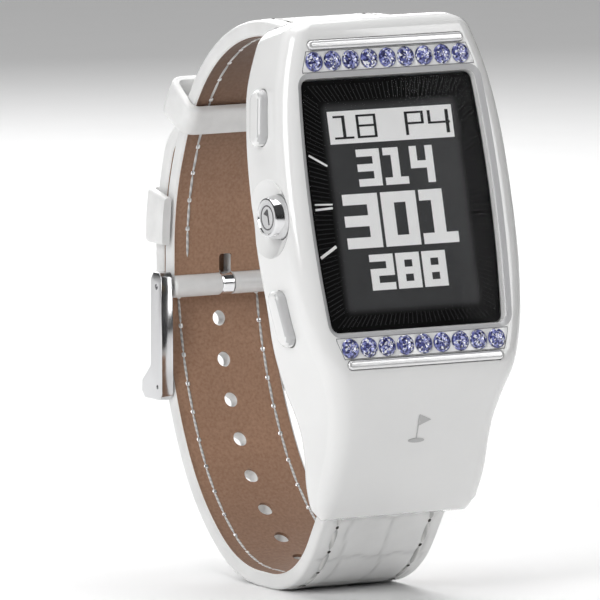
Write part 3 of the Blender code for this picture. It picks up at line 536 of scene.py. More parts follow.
def leather_tan():
    """Matt tan lining: fine grain, mottling, and painted shade darkening it high up and near the floor.
    """
    s = Shader("leather_tan_lining", Sheen_Weight=0.15, Sheen_Roughness=0.5, Specular_IOR_Level=0.35)
    base = s.mottle(s.noise(2400.0, 4.0), (0.34, 0.188, 0.115), (0.46, 0.278, 0.182))
    wear = s.spread(s.noise(60.0, 2.0), 0.0, 0.3, 0.4, 0.8)
    base = s.mix(wear, base, (0.27, 0.152, 0.094))
    # Painted shade: the lining darkens towards the top of the strap and just above the floor.
    height = s.split(s.coords)["Z"]
    high = s.spread(height, 0.0, 0.85, 0.050, 0.074)
    low = s.spread(height, 0.5, 0.0, 0.002, 0.016)
    s.colour(s.mix(s.math("MAXIMUM", high, low), base, (0.10, 0.055, 0.035)))
    s.rough(s.noise(1500.0, 3.0), 0.55, 0.75)
    s.bump(s.cells(3200.0), 0.35, 0.02)
    s.bump(s.noise(1200.0, 4.0), 0.3, 0.03)
    return s.mat


def thread():
    """Silver-grey waxed thread with a tight twist; the colour is darker in the twist grooves as painted
    shade.
    """
    s = Shader("thread_silver_grey", Sheen_Weight=0.3)
    wave = s.bands("DIAGONAL", 620.0, 0.6)
    # Painted shade: the colour follows the twist bands, darkest in the grooves.
    s.colour(s.mix(wave, (0.46, 0.46, 0.455), (0.74, 0.735, 0.72)))
    s.rough(s.noise(2400.0), 0.45, 0.65)
    s.bump(wave, 0.5, 0.05)
    return s.mat


def crystal_material():
    """Blue-violet cut crystal; each cut face carries its own tone, some white as painted glints and some
    near-black as painted reflections.
    """
    s = Shader("crystal_blue_violet", Metallic=0.1, Coat_Weight=0.35, Coat_Roughness=0.02,
               Specular_IOR_Level=0.6)
    tone = s.attribute("facet_tone_and_glint", "Color")
    haze = s.noise(900.0, 2.0)
    s.colour(s.mix(s.spread(haze, 0.0, 0.10, 0.3, 0.7), tone, (0.45, 0.47, 0.85)))
    s.rough(s.noise(1200.0, 2.0), 0.03, 0.09)
    s.bump(s.noise(3000.0, 1.0), 0.02, 0.004)
    return s.mat


def glass_material():
    """Clear mineral glass, nearly free of tint."""
    s = Shader("lens_clear_glass", Alpha=0.04, Coat_Weight=0.0, Specular_IOR_Level=0.4)
    s.colour(s.mix(s.noise(60.0), (0.01, 0.01, 0.012), (0.02, 0.02, 0.022)))
    s.rough(s.noise(150.0, 2.0), 0.02, 0.05)
    s.bump(s.noise(120.0, 1.0), 0.01, 0.002)
    return s.mat


def dial_material():
    """Black dial with fine radial rays."""
    s = Shader("dial_black_rays", Specular_IOR_Level=0.06)
    local = s.split(s.attribute("local", "Vector"))
    angle = s.math("ARCTAN2", local["Z"], local["X"])
    wave = s.math("SINE", s.math("MULTIPLY", angle, 76.0))
    ray = s.spread(wave, 0.0, 1.0, 0.1, 0.75)
    broad = s.math("SINE", s.math("MULTIPLY_ADD", angle, 6.0, 1.1))
    level = s.math("MULTIPLY", ray, s.spread(broad, 0.35, 1.0, -1.0, 1.0))
    s.colour(s.mix(level, (0.002, 0.002, 0.002), (0.006, 0.006, 0.006)))
    s.rough(s.noise(1500.0), 0.4, 0.55)
    s.bump(wave, 0.2, 0.01)
    return s.mat


def screen_material():
    """Grey reflective display: faint pixel grid, edges fading into the dial."""
    s = Shader("screen_grey", Specular_IOR_Level=0.06)
    grid = s.bands("X", 1400.0)
    tone = s.mottle(s.noise(110.0, 3.0), (0.052, 0.053, 0.055), (0.066, 0.067, 0.069))
    tone = s.mix(s.spread(grid, 0.0, 0.10), tone, (0.10, 0.10, 0.10))
    s.colour(s.mix(s.attribute("edge"), (0.004, 0.004, 0.004), tone))
    s.rough(s.noise(800.0), 0.3, 0.4)
    s.bump(grid, 0.05, 0.004)
    return s.mat


def lit_material(name, colour):
    """Bright display segment, faintly mottled, with a faint painted glow."""
    # Painted glow: a faint white emission, though the segments and marks are no lamp.
    s = Shader(name, Emission_Strength=0.12, Emission_Color=(1.0, 1.0, 1.0, 1.0))
    s.colour(s.mix(s.noise(500.0, 3.0), tuple(c * 0.92 for c in colour), colour))
    s.rough(s.noise(800.0), 0.4, 0.5)
    s.bump(s.noise(2500.0), 0.05, 0.003)
    return s.mat


WHITE = moulded("case_gloss_white", (0.88, 0.88, 0.875), (0.10, 0.17), 0.97, Coat_Weight=0.5,
                Coat_Roughness=0.06)
# Grey for the slope round the glass: painted shade on the white case.
BEZEL_PAINTED_SHADE = moulded("bezel_painted_shade_grey", (0.50, 0.50, 0.51), (0.14, 0.22), 0.94, Coat_Weight=0.3,
                     Coat_Roughness=0.1)
# Greyer copy of the case white: painted shade for the pushers' front facets.
PUSHER_PAINTED_SHADE = moulded("pusher_painted_shade", (0.60, 0.60, 0.605), (0.12, 0.2), 0.95, Coat_Weight=0.4,
                      Coat_Roughness=0.08)
EMBLEM = moulded("emblem_grey_print", (0.56, 0.56, 0.56), (0.2, 0.3))
CROWN_PRINT = moulded("crown_print_dark", (0.08, 0.08, 0.085), (0.3, 0.4), 0.8)
COVER = moulded("cover_charcoal", (0.035, 0.036, 0.038), (0.4, 0.55), 0.75)
RUBBER = moulded("gasket_rubber", (0.02, 0.02, 0.02), (0.7, 0.85), 0.8)
CHROME = metal("chrome_polished", (0.86, 0.86, 0.87))
STEEL = metal("steel_polished", (0.74, 0.74, 0.75), (0.10, 0.22), 0.06)
SATIN = moulded("tray_satin_silver", (0.88, 0.88, 0.885), (0.26, 0.38), 0.96, Metallic=0.15)
TRIM = moulded("trim_bright_silver", (0.90, 0.90, 0.905), (0.14, 0.24), 0.96, Metallic=0.45,
               Coat_Weight=0.3, Coat_Roughness=0.08)
OUTLINE = moulded("tray_outline_grey", (0.22, 0.22, 0.23), (0.4, 0.5), 0.9)
GOLD = metal("contact_gold", (0.86, 0.62, 0.24), (0.15, 0.3))
FOIL = metal("battery_foil", (0.66, 0.66, 0.67), (0.3, 0.45), 0.1)
BOARD = moulded("board_green_mask", (0.02, 0.16, 0.07), (0.3, 0.45), 0.7)
DARK = moulded("switch_black", (0.02, 0.02, 0.022), (0.3, 0.45), 0.7)
KNOT = metal("knot_silver", (0.92, 0.92, 0.92), (0.25, 0.4))
# Dark marks in the stitch openings: painted shade.
HOLE_PAINTED_SHADE = moulded("stitch_hole_painted_shade", (0.05, 0.045, 0.04), (0.7, 0.85), 0.8)
LEATHER, EDGE, TAN, THREAD = leather_white(), leather_edge(), leather_tan(), thread()
CRYSTAL, GLASS = crystal_material(), glass_material()
DIAL, SCREEN = dial_material(), screen_material()
PAINTED_GLOW_WHITE = lit_material("segment_white_painted_glow", (0.90, 0.90, 0.90))
RAYS = moulded("ray_grey", (0.034, 0.034, 0.035), (0.5, 0.6), 0.6, Specular_IOR_Level=0.06)
INK = moulded("segment_dark", (0.04, 0.04, 0.042), (0.5, 0.6), 0.8, Specular_IOR_Level=0.1)
CAD_FINISH = {
    "back_cover": COVER, "back_gasket": RUBBER, "lens_gasket": RUBBER, "lens": GLASS,
    "battery": FOIL, "main_board": BOARD, "gps_antenna": GOLD, "gps_module": FOIL,
    "backlight": PAINTED_GLOW_WHITE, "lcd_panel": DARK, "upper_key_switch": DARK, "middle_key_switch": DARK,
    "lower_key_switch": DARK, "upper_lug_bar": STEEL, "lower_lug_bar": STEEL, "buckle_bar": STEEL}
for number in range(1, 5):
    CAD_FINISH["case_screw_%d" % number] = STEEL
    CAD_FINISH["charge_contact_%d" % number] = GOLD
for node_name, finish in CAD_FINISH.items():
    node_slots = NODES[node_name].data.materials
    node_slots.clear()
    node_slots.append(finish)


def show(obj, body, slot_name, *replaced):
    """Attach a finished piece to its body and hide the CAD nodes it stands for."""
    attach(obj, body)
    if replaced:
        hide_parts(*replaced)


# ---- case -----------------------------------------------------------------------------
def inner_rings(heights, inset, front, back, corner=1.0):
    return [rounded_section(case_half_width(z) - inset, front(z), back(z), corner, corner, z, 4)
            for z in heights]


def case_rings():
    top, toe = CASE_STATIONS[0][0], CASE_STATIONS[-1][0]
    rings = []
    steps = 7
    for i in range(steps):
        angle = math.radians(90.0 * (1 - i / steps))
        z = top - END_RADIUS * (1 - math.sin(angle))
        inset = END_RADIUS * (1 - math.cos(angle))
        rings.append(rounded_section(case_half_width(z) - inset, case_front(z) + inset,
                                     case_back(z) - inset * 0.5, FRONT_RADIUS, BACK_RADIUS, z))
    z = top - END_RADIUS
    while z > toe + 0.4:
        rings.append(rounded_section(case_half_width(z), case_front(z), case_back(z),
                                     FRONT_RADIUS, BACK_RADIUS, z))
        z -= 0.9
    rings.append(rounded_section(case_half_width(toe) - TOE_RADIUS, case_front(toe) + 0.3,
                                 case_back(toe) - 0.3, FRONT_RADIUS, BACK_RADIUS, toe - 0.35))
    return rings


def tray_outline(side, grow=0.0):
    inner, outer = (TRAY_INNER_Z - grow) * side, (TRAY_OUTER_Z + grow) * side
    wide, narrow, step = TRAY_INNER_HALF + grow, TRAY_OUTER_HALF + grow, 0.4
    return [(-wide, inner), (wide, inner), (wide, inner + step * side),
            (narrow, outer), (-narrow, outer), (-wide, inner + step * side)]


def trim_outline(side, grow=0.0):
    return [(x, side * TRIM_Z + z) for x, z in stadium(TRIM_HALF + grow, TRIM_WIDTH / 2 + grow)]


def pusher_outline(side, grow):
    z = CROWN_Z + side * PUSHER_OFFSET
    pill = stadium(PUSHER_LENGTH / 2 + grow, PUSHER_WIDTH / 2 + grow)
    return [(PUSHER_Y[side] + b, z + a) for a, b in pill]


def cut_case_front(body):
    cut(body, [level(glass_outline(grow), y) for grow, y in (
        (BEVEL + 0.3, FRONT_Y - 0.3), (BEVEL, FRONT_Y), (FIT, 0.05), (FIT, GLASS_THICK + 0.35))], CASE)
    cut(body, prism_y(glass_outline(-1.3), 0.5, LEDGE_Y + 1.0), CASE)
    for side in (1, -1):
        cut(body, prism_y(tray_outline(side, FIT), FRONT_Y - 1.0, 0.75), CASE)
        cut(body, prism_y(trim_outline(side, FIT), FRONT_Y - 1.0, 0.3), CASE)


def cut_case_back(body):
    heights = [CAVITY_TOP, 12.0, 6.0, 0.0, -6.0, -12.0, -18.0, -22.0, -25.0, CAVITY_BOTTOM]
    cut(body, inner_rings(heights, WALL, lambda z: max(LEDGE_Y, case_front(z) + 2.0),
                          lambda z: case_back(z) + 3.0), CASE)
    heights = [COVER_TOP] + REAR_HEIGHTS + [COVER_BOTTOM]
    cut(body, inner_rings(heights, COVER_INSET - FIT, lambda z: case_back(z) - COVER_SINK - 0.3,
                          lambda z: case_back(z) + 3.0, 0.15), CASE)
    for x, z in SCREW_PLACES:
        cut(body, rod_y(case_back(z) - 5.0, case_back(z) + 1.0, SCREW_RADIUS, (x, z), 20), CASE)


def cut_strap_seats(body):
    half = LUG_HALF_WIDTH + SEAT_GAP
    for stations, turn, thick in ((SHORT, 1, SHORT_THICK), (LONG, -1, LONG_THICK)):
        reach = thick / 2 + 0.3
        profile = [(-half, -reach), (half, -reach), (half, reach), (-half, reach)]
        tail = [at(stations, stations[-1][3] - d) for d in (15.0, 10.0, 6.0, 3.0, 0.0)]
        cut(body, [across(station, turn, profile) for station in tail])
        end = stations[-1][:2]
        cut(body, rod_x(-half, half, LOOP_RADIUS + 0.28, end, 48))
        cut(body, rod_x(-BAR_SOCKET_REACH, BAR_SOCKET_REACH, BAR_RADIUS + 0.08, end, 24))


def cut_button_seats(body):
    scoop = bmesh.new()
    bmesh.ops.create_uvsphere(scoop, u_segments=72, v_segments=40, radius=SCOOP_RADIUS,
                              matrix=Matrix.Translation((*SCOOP_CENTRE, CROWN_Z)))
    cut_with(body, mesh_object("tool", scoop, None, CASE))
    for side in (1, -1):
        z = CROWN_Z + side * PUSHER_OFFSET
        shell = -case_half_width(z)
        cut(body, prism_x(pusher_outline(side, BUTTON_CLEAR), shell - 3.0, shell + 1.25), CASE)
        cut(body, rod_x(shell - 1.0, shell + 4.0, STEM_BORE, (PUSHER_Y[side], z), 20), CASE)
    shell, place = -case_half_width(CROWN_Z), (BUTTON_Y, CROWN_Z)
    cut(body, rod_x(shell - 4.0, shell + CROWN_REACH + 0.75, CROWN_RADIUS + BUTTON_CLEAR, place, 64),
        CASE)
    cut(body, rod_x(shell - 1.0, shell + 4.0, STEM_BORE, place, 20), CASE)


def bezel_ring():
    """Slope round the glass, coloured grey as painted shade where it turns in towards the glass."""
    bm = bmesh.new()
    bridge(bm, [vertices(bm, level(glass_outline(grow), y)) for grow, y in (
        (BEVEL - 0.04, FRONT_Y + 0.005), (BEVEL * 0.75, FRONT_Y + 0.12), (BEVEL * 0.4, -0.2),
        (FIT + 0.02, 0.03), (FIT + 0.01, 0.9), (FIT + 0.11, 0.9))], closed=True)
    show(mesh_object("bezel_ring", bm, BEZEL_PAINTED_SHADE, CASE, 25.0), "watch", "chrome_steel")


def case_shell():
    body = loft_object("case_shell", case_rings(), None, CASE)
    cut_button_seats(body)
    cut_strap_seats(body)
    cut_case_back(body)
    cut_case_front(body)
    bake(body, WHITE, 32.0)
    show(body, "watch", "white_case", "case_body")


def lug_emblem():
    """Plain golf flag standing a little proud of the lower lug."""
    z0, thick = -30.9, 0.04
    slope = (case_front(z0 + 1.0) - case_front(z0 - 1.0)) / 2.0
    tilt = Matrix.Translation((0.0, case_front(z0) - 0.02, z0))
    tilt = tilt @ Matrix.Rotation(math.atan(-slope), 4, "X")
    tilt = tilt @ Matrix.Translation((0.45, -0.03, 0.0))
    flag = [(-0.55, 1.95), (-0.40, 2.0), (1.45, 1.15), (-0.40, 0.35), (-0.40, -1.75), (-0.55, -1.75)]
    base = [(x * 1.3 - 0.45, z * 0.32 - 1.85) for x, z in circle(1.0, 28)]
    bm = bmesh.new()
    for outline in (flag, base):
        loft(bm, prism_y(outline, -thick, 0.0))
    show(mesh_object("lug_emblem", bm, EMBLEM, CASE @ tilt), "watch", "chrome_steel")


# ---- stones, trays and trims ----------------------------------------------------------
# Crystal blues and violets, plus white as painted glints and near-black as painted dark reflections.
FACET_TONES_AND_GLINTS = [((0.10, 0.11, 0.34), 5), ((0.20, 0.22, 0.52), 4), ((0.012, 0.012, 0.05), 5),
         ((0.36, 0.39, 0.75), 3), ((0.95, 0.96, 1.0), 4), ((0.04, 0.045, 0.16), 5)]
FACET_TONE_AND_GLINT_BAG = [tone for tone, weight in FACET_TONES_AND_GLINTS for _ in range(weight)]
STONE_SHOWN, STONE_SIDES = 1.37, 16


def stone_mesh(bm, centre, girdle, layer, pick):
    """Round brilliant cut into many small facets, each with its own tone: a crystal colour, a white
    painted glint or a near-black painted reflection.
    """
    cx, cz = centre
    rows = []
    for radius, rise, turn in ((0.30, 0.40, 0.0), (0.66, 0.38, 0.5), (0.98, 0.27, 0.0),
                               (1.20, 0.15, 0.5), (STONE_SHOWN, 0.03, 0.0)):
        angles = [math.tau * (i + turn) / STONE_SIDES for i in range(STONE_SIDES)]
        rows.append(vertices(bm, [(cx + radius * math.cos(a), girdle - rise, cz + radius * math.sin(a))
                                  for a in angles]))
    crest, tip = vertices(bm, [(cx, girdle - 0.40, cz), (cx, girdle + 0.9, cz)])
    faces = []
    for i in range(STONE_SIDES):
        j = (i + 1) % STONE_SIDES
        faces.append(bm.faces.new((rows[0][i], rows[0][j], crest)))
        for k, (a, b) in enumerate(zip(rows[:-1], rows[1:])):
            pair = (((a[i], a[j], b[i]), (a[j], b[j], b[i])) if k % 2 == 0
                    else ((a[i], b[j], b[i]), (a[i], a[j], b[j])))
            faces += [bm.faces.new(corners) for corners in pair]
        faces.append(bm.faces.new((rows[-1][i], rows[-1][j], tip)))
    for face in faces:
        tone = pick.choice(FACET_TONE_AND_GLINT_BAG)
        for corner in face.loops:
            corner[layer] = (*tone, 1.0)


def stone_row(label, side):
    pick = random.Random(11 + side)
    girdle = FRONT_Y - 0.05
    first = -STONE_PITCH * (STONE_COUNT - 1) / 2
    centres = [(first + STONE_PITCH * i, side * STONE_Z) for i in range(STONE_COUNT)]
    tray = loft_object(label + "_tray_plate", prism_y(tray_outline(side), girdle, 0.6), None, CASE)
    for centre in centres:
        cut(tray, rod_y(-2.0, 2.0, STONE_SHOWN + 0.03, centre, 32), CASE)
    soften(tray, 0.12)
    bake(tray, SATIN)
    show(tray, "watch", "silver_tray", label + "_stone_tray")
    rim = bmesh.new()
    bridge(rim, [vertices(rim, level(tray_outline(side, grow), y)) for grow, y in (
        (FIT, girdle + 0.06), (FIT * 0.2, girdle), (-0.03, girdle + 0.04), (0.05, girdle + 0.3))],
        closed=True)
    show(mesh_object(label + "_tray_outline", rim, OUTLINE, CASE), "watch", "silver_tray")
    for i, centre in enumerate(centres):
        bm = bmesh.new()
        layer = bm.loops.layers.float_color.new("facet_tone_and_glint")
        stone_mesh(bm, centre, girdle, layer, pick)
        stone = mesh_object("%s_brilliant_%d" % (label, i + 1), bm, CRYSTAL, CASE, None)
        show(stone, "watch", "violet_crystal", "%s_stone_%d" % (label, i + 1))
    rings = [level(trim_outline(side, grow), y) for y, grow in (
        (0.2, 0.0), (FRONT_Y - 0.12, 0.0), (FRONT_Y - 0.26, -0.07), (FRONT_Y - 0.35, -0.22),
        (FRONT_Y - 0.35, -0.50), (FRONT_Y - 0.30, -0.53))]
    trim = loft_object(label + "_trim_rod", rings, TRIM, CASE, 50.0)
    show(trim, "watch", "chrome_steel", label + "_trim_bar")


# ---- buttons --------------------------------------------------------------------------
def pusher(label, side):
    """Leaning pill-shaped cap on a stem; its facets towards the front take a greyer white as painted
    shade.
    """
    z = CROWN_Z + side * PUSHER_OFFSET
    shell = -case_half_width(z)
    lean = math.tan(math.radians(PUSHER_LEAN)) * side
    rings = []
    for x, grow in ((shell + 0.5, 0.0), (shell, 0.0), (shell - PUSHER_PROUD * 0.55, 0.0),
                    (shell - PUSHER_PROUD * 0.68, -0.05), (shell - PUSHER_PROUD * 0.92, -0.36),
                    (shell - PUSHER_PROUD, -0.55), (shell - PUSHER_PROUD - 0.03, -0.9)):
        rings.append([(x + ((zz - z) * lean if x < shell else 0.0), y, zz)
                      for y, zz in pusher_outline(side, grow)])
    cap = loft_object(label + "_pusher_cap", rings, None, CASE, 50.0)
    cut(cap, rod_x(shell + 0.3, STEM_END, STEM_RADIUS, (PUSHER_Y[side], z), 24), CASE, "UNION")
    bake(cap, WHITE, 50.0)
    cap.data.materials.append(PUSHER_PAINTED_SHADE)
    # Painted shade: facets turned to the front take the greyer copy of the case white.
    facing = (CASE.to_3x3() @ Vector((0.0, -1.0, 0.0))).normalized()
    for polygon in cap.data.polygons:
        if polygon.normal.dot(facing) > 0.45:
            polygon.material_index = 1
    show(cap, label + "_button", "white_case", label + "_button")


def crown():
    """Dished chrome crown with a flag in a thin raised ring on its face."""
    shell = -case_half_width(CROWN_Z)
    r = CROWN_RADIUS
    top = shell - CROWN_PROUD
    inner = shell + CROWN_REACH
    profile = [(STEM_END, STEM_RADIUS - 0.1), (STEM_END - 0.1, STEM_RADIUS), (inner, STEM_RADIUS),
               (inner, r - 0.1), (inner - 0.1, r), (shell + 0.3, r), (shell + 0.2, r - 0.02),
               (top + 0.24, r - 0.30), (top + 0.10, r - 0.38), (top, r - 0.55), (top, r - 0.72),
               (top + 0.12, r - 0.84), (top + 0.14, 0.3)]
    cap = loft_object("crown_cap", turned_x(profile, (BUTTON_Y, CROWN_Z), 72), CHROME, CASE, 28.0)
    show(cap, "crown_button", "chrome_steel", "crown_button")
    face, raised, radius, width, count = top + 0.14, 0.05, 1.75, 0.22, 48
    section = [(radius, 0.0), (radius - width * 0.15, -raised), (radius - width * 0.85, -raised),
               (radius - width, 0.0)]
    bm = bmesh.new()
    loops = []
    for i in range(count):
        a = math.tau * i / count
        loops.append(vertices(bm, [(face + out, BUTTON_Y + reach * math.cos(a),
                                    CROWN_Z + reach * math.sin(a)) for reach, out in section]))
    bridge(bm, loops, closed=True)
    shape = [(-0.35, 1.1), (-0.15, 1.15), (0.85, 0.65), (-0.15, 0.15), (-0.15, -1.05), (-0.35, -1.05)]
    flag = [(BUTTON_Y + a, CROWN_Z + b) for a, b in shape]
    loft(bm, prism_x(flag, face - raised, face))
    show(mesh_object("crown_emblem", bm, CROWN_PRINT, CASE), "crown_button", "chrome_steel")


# ---- dial -----------------------------------------------------------------------------
PLATE_Y, RAY_Y, SCREEN_Y, PRINT_Y, INK_Y = 1.05, 1.03, 1.0, 0.96, 0.93
PRINT_THICK, SCREEN_BOX = 0.02, (-10.9, 11.3, -15.3, 14.5)


def dial_plate():
    lens = loft_object("lens_crystal", [level(glass_outline(grow), y) for grow, y in (
        (-0.5, 0.0), (-0.12, 0.0), (0.0, 0.12), (0.0, 0.85))], GLASS, CASE)
    show(lens, "watch", "lens_glass", "lens")
    plate = loft_object("dial_plate", prism_y(glass_outline(-0.05), PLATE_Y, 1.12), DIAL, CASE)
    show(plate, "watch", "dial_black", "dial_mask")


def outline_hit(points, start, toward):
    """Where a ray from one point through another leaves an outline."""
    best = None
    ox, oz = start
    dx, dz = toward[0] - ox, toward[1] - oz
    for (x0, z0), (x1, z1) in zip(points, points[1:] + points[:1]):
        ex, ez = x1 - x0, z1 - z0
        det = dx * ez - dz * ex
        if abs(det) < 1e-9:
            continue
        t = ((x0 - ox) * ez - (z0 - oz) * ex) / det
        u = ((x0 - ox) * dz - (z0 - oz) * dx) / det
        if t > 0 and 0 <= u <= 1 and (best is None or t < best):
            best = t
    return (ox + dx * best, oz + dz * best)


def dial_rays():
    """Raised rays from the display to the border, fanned out at the corners."""
    bm = bmesh.new()
    x0, x1, z0, z1 = -10.2, 10.6, -14.6, 13.8
    border = glass_outline(-0.75)
    starts = []
    short_side, long_side = 34, 48
    for i in range(short_side):
        t = (i + 0.5) / short_side
        starts.append(((lerp(x0, x1, t), z1), (lerp(-12.8, 12.8, t), 17.0)))
        starts.append(((lerp(x0, x1, t), z0), (lerp(-12.8, 12.8, t), -17.0)))
    for i in range(long_side):
        t = (i + 0.5) / long_side
        starts.append(((x0, lerp(z0, z1, t)), (-13.6, lerp(-16.4, 16.4, t))))
        starts.append(((x1, lerp(z0, z1, t)), (13.6, lerp(-16.4, 16.4, t))))
    for start, toward in starts:
        end = outline_hit(border, start, toward)
        loft(bm, prism_y(bar(start, end, 0.075, 0.7), RAY_Y, PLATE_Y))
    show(mesh_object("dial_rays", bm, RAYS, CASE), "watch", "dial_black")


def screen():
    """Display sheet with a fading border."""
    xa, xb, za, zb = SCREEN_BOX
    nx, nz, border = 44, 60, 1.3
    rings = []
    for k in range(nz + 1):
        z = lerp(za, zb, k / nz)
        front = [(lerp(xa, xb, i / nx), SCREEN_Y, z) for i in range(nx + 1)]
        rings.append(front + [(x, SCREEN_Y + PRINT_THICK, z) for x, _, z in reversed(front)])
    obj = loft_object("screen_sheet", rings, SCREEN, CASE)
    edge = obj.data.attributes.new("edge", "FLOAT", "POINT")
    inverse = CASE.inverted()
    for i, vert in enumerate(obj.data.vertices):
        p = inverse @ (vert.co / MM)
        dx = max(p.x - (xb - border), (xa + border) - p.x, 0.0)
        dz = max(p.z - (zb - border), (za + border) - p.z, 0.0)
        edge.data[i].value = 1.0 - fade(math.hypot(dx, dz), 0.0, border)
    show(obj, "watch", "dial_black")


# Each glyph is a list of bars (x0, x1, z0, z1) on a unit cell: heavy digits, then light ones.
GLYPHS = {
    "3": [(0, 1, .8, 1), (0, 1, .4, .6), (0, 1, 0, .2), (.68, 1, .2, .4), (.68, 1, .6, .8)],
    "0": [(0, 1, .8, 1), (0, 1, 0, .2), (0, .36, .2, .8), (.69, 1, .2, .8)],
    "1": [(0, .67, .8, 1), (.33, .67, .2, .8), (0, 1, 0, .2)],
    "4": [(0, .31, .4, 1), (.31, .68, .4, .6), (.68, 1, 0, 1)],
    "2": [(0, 1, .8, 1), (.68, 1, .6, .8), (0, 1, .4, .6), (0, .33, .2, .4), (0, 1, 0, .2)],
    "8": [(0, 1, .8, 1), (0, .35, .6, .8), (.68, 1, .6, .8), (0, 1, .4, .6), (0, .35, .2, .4),
          (.68, 1, .2, .4), (0, 1, 0, .2)]}
FINE = {
    "1": [(0, .5, .91, 1), (.44, .6, 0, 1), (0, 1, 0, .09)],
    "8": [(0, 1, .91, 1), (0, .13, 0, 1), (.87, 1, 0, 1), (0, 1, .48, .57), (0, 1, 0, .09)],
    "P": [(0, 1, .91, 1), (0, .15, 0, 1), (.86, 1, .45, 1), (0, 1, .45, .54)],
    "4": [(0, .13, .42, 1), (0, 1, .42, .51), (.80, .95, 0, 1)]}


def draw(bm, bars, box, y):
    x0, x1, z0, z1 = box
    for a, b, c, d in bars:
        quad = [(lerp(x0, x1, a), lerp(z0, z1, c)), (lerp(x0, x1, b), lerp(z0, z1, c)),
                (lerp(x0, x1, b), lerp(z0, z1, d)), (lerp(x0, x1, a), lerp(z0, z1, d))]
        loft(bm, prism_y(quad, y, y + PRINT_THICK))


def readout():
    """Yardage readout: hole and par on a pale band, three distances below it."""
    lit = bmesh.new()
    pale = [(-9.75, 8.5), (9.95, 8.5), (9.95, 13.04), (-9.75, 13.04)]
    loft(lit, prism_y(pale, PRINT_Y, PRINT_Y + PRINT_THICK))
    rows = [("314", (-6.0, 6.1), (2.45, 7.6), 0.55), ("301", (-9.05, 8.6), (-6.05, 1.5), 0.5),
            ("288", (-6.0, 6.05), (-11.95, -7.0), 0.4)]
    for text, (xa, xb), (za, zb), gap in rows:
        width = (xb - xa - 2 * gap) / 3
        for i, glyph in enumerate(text):
            left = xa + i * (width + gap)
            draw(lit, GLYPHS[glyph], (left, left + width, za, zb), PRINT_Y)
    show(mesh_object("screen_digits", lit, PAINTED_GLOW_WHITE, CASE), "watch", "dial_black")
    ink = bmesh.new()
    for glyph, xa, xb in (("1", -8.95, -5.9), ("8", -5.35, -2.2), ("P", 2.35, 5.35), ("4", 6.0, 9.5)):
        draw(ink, FINE[glyph], (xa, xb, 9.15, 12.4), INK_Y)
    show(mesh_object("screen_small_digits", ink, INK, CASE), "watch", "dial_black")
    marks = bmesh.new()
    for start, end, half in (
            ((-13.4, 7.2), (-10.7, 5.6), 0.13), ((-13.4, 0.38), (-10.65, 0.27), 0.11),
            ((-13.4, -0.34), (-10.7, -0.23), 0.15), ((-13.5, -7.0), (-10.9, -5.55), 0.2)):
        loft(marks, prism_y(bar(start, end, half), PRINT_Y, PLATE_Y))
    show(mesh_object("dial_index_marks", marks, PAINTED_GLOW_WHITE, CASE), "watch", "dial_black")


# ---- straps ---------------------------------------------------------------------------
def jitter(*key):
    return random.Random(repr(key)).random()


ROW_SHIFT = [jitter("row", k) for k in range(200)]


def scale_relief(x, s):
    """Height and crease amount of the embossed scales at x across and s along."""
    pitch, across = 7.2, 6.6
    u = s / pitch + 0.035 * math.sin(x * 0.8 + 1.0) + 0.02 * math.sin(x * 2.1 + s * 0.3)
    row = int(math.floor(u))
    fu = u - row
    v = x / across + 0.5 + ROW_SHIFT[row % 200] * 0.35 + 0.025 * math.sin(s * 1.1 + row)
    fv = v - math.floor(v)
    du, dv = min(fu, 1 - fu) * pitch, min(fv, 1 - fv) * across
    near = min(du, dv * 1.15)
    crease = math.exp(-(near / 0.24) ** 2)
    pillow = min(near / 1.6, 1.0)
    return 0.05 * pillow - 0.15 * crease, crease


def bulge(station):
    """Padding under the outer leather: none near the tips and where the strap rests."""
    return 0.02 + 0.38 * fade(station[3], 52.0, 66.0) * fade(station[1], 3.0, 9.0)


def seam(half):
    return half - 2.4


def leather_rings(stations, turn, half_width, thick):
    """Outer leather with rounded painted edges and a recess for the lining."""
    rings, painted_crease_shade = [], []
    columns, lip, r = 46, 0.4, 0.55
    for station in stations:
        s = station[3]
        half = max(half_width(s), 1.2)
        flat = half - r
        pad = bulge(station)
        ring = []
        for i in range(columns + 1):
            x = lerp(-flat, flat, i / columns)
            height, crease = scale_relief(x, s)
            groove = math.exp(-((abs(x) - seam(half)) / 0.34) ** 2)
            rim = fade(flat - abs(x), 0.0, 1.0)
            crown = pad * (1 - (x / half) ** 4)
            ring.append((x, thick / 2 + crown * rim + height * rim * (1 - groove * 0.7)
                         - 0.10 * groove * rim))
            # Painted shade for the scale creases, kept per vertex for the leather colour.
            painted_crease_shade.append(crease * rim * (1 - groove * 0.5))
        side = arc(flat, thick / 2 - r, r, 90.0, range(1, 6), 5)
        side += arc(flat, -thick / 2 + r, r, 0.0, range(5), 5)
        side += [(half - lip, -thick / 2), (half - lip - 0.05, -thick / 2 + 0.4)]
        ring += side + [(-x, n) for x, n in reversed(side)]
        painted_crease_shade += [0.0] * (2 * len(side))
        rings.append(across(station, turn, ring))
    return rings, painted_crease_shade


def lining_rings(stations, turn, half_width, thick):
    rings = []
    columns, inset, corner = 24, 0.36, 0.12
    for station in stations:
        half = max(half_width(station[3]) - inset, 0.9)
        low = -thick / 2
        ring = [(-half, low - 0.10), (-half + corner, low - 0.02)]
        for i in range(1, columns):
            x = lerp(-half + corner, half - corner, i / columns)
            groove = math.exp(-((abs(x) - seam(half + inset)) / 0.4) ** 2)
            ring.append((x, low - 0.06 + 0.10 * groove))
        ring += [(half - corner, low - 0.02), (half, low + 0.05), (half, low + 0.38), (-half, low + 0.38)]
        rings.append(across(station, turn, ring))
    return rings


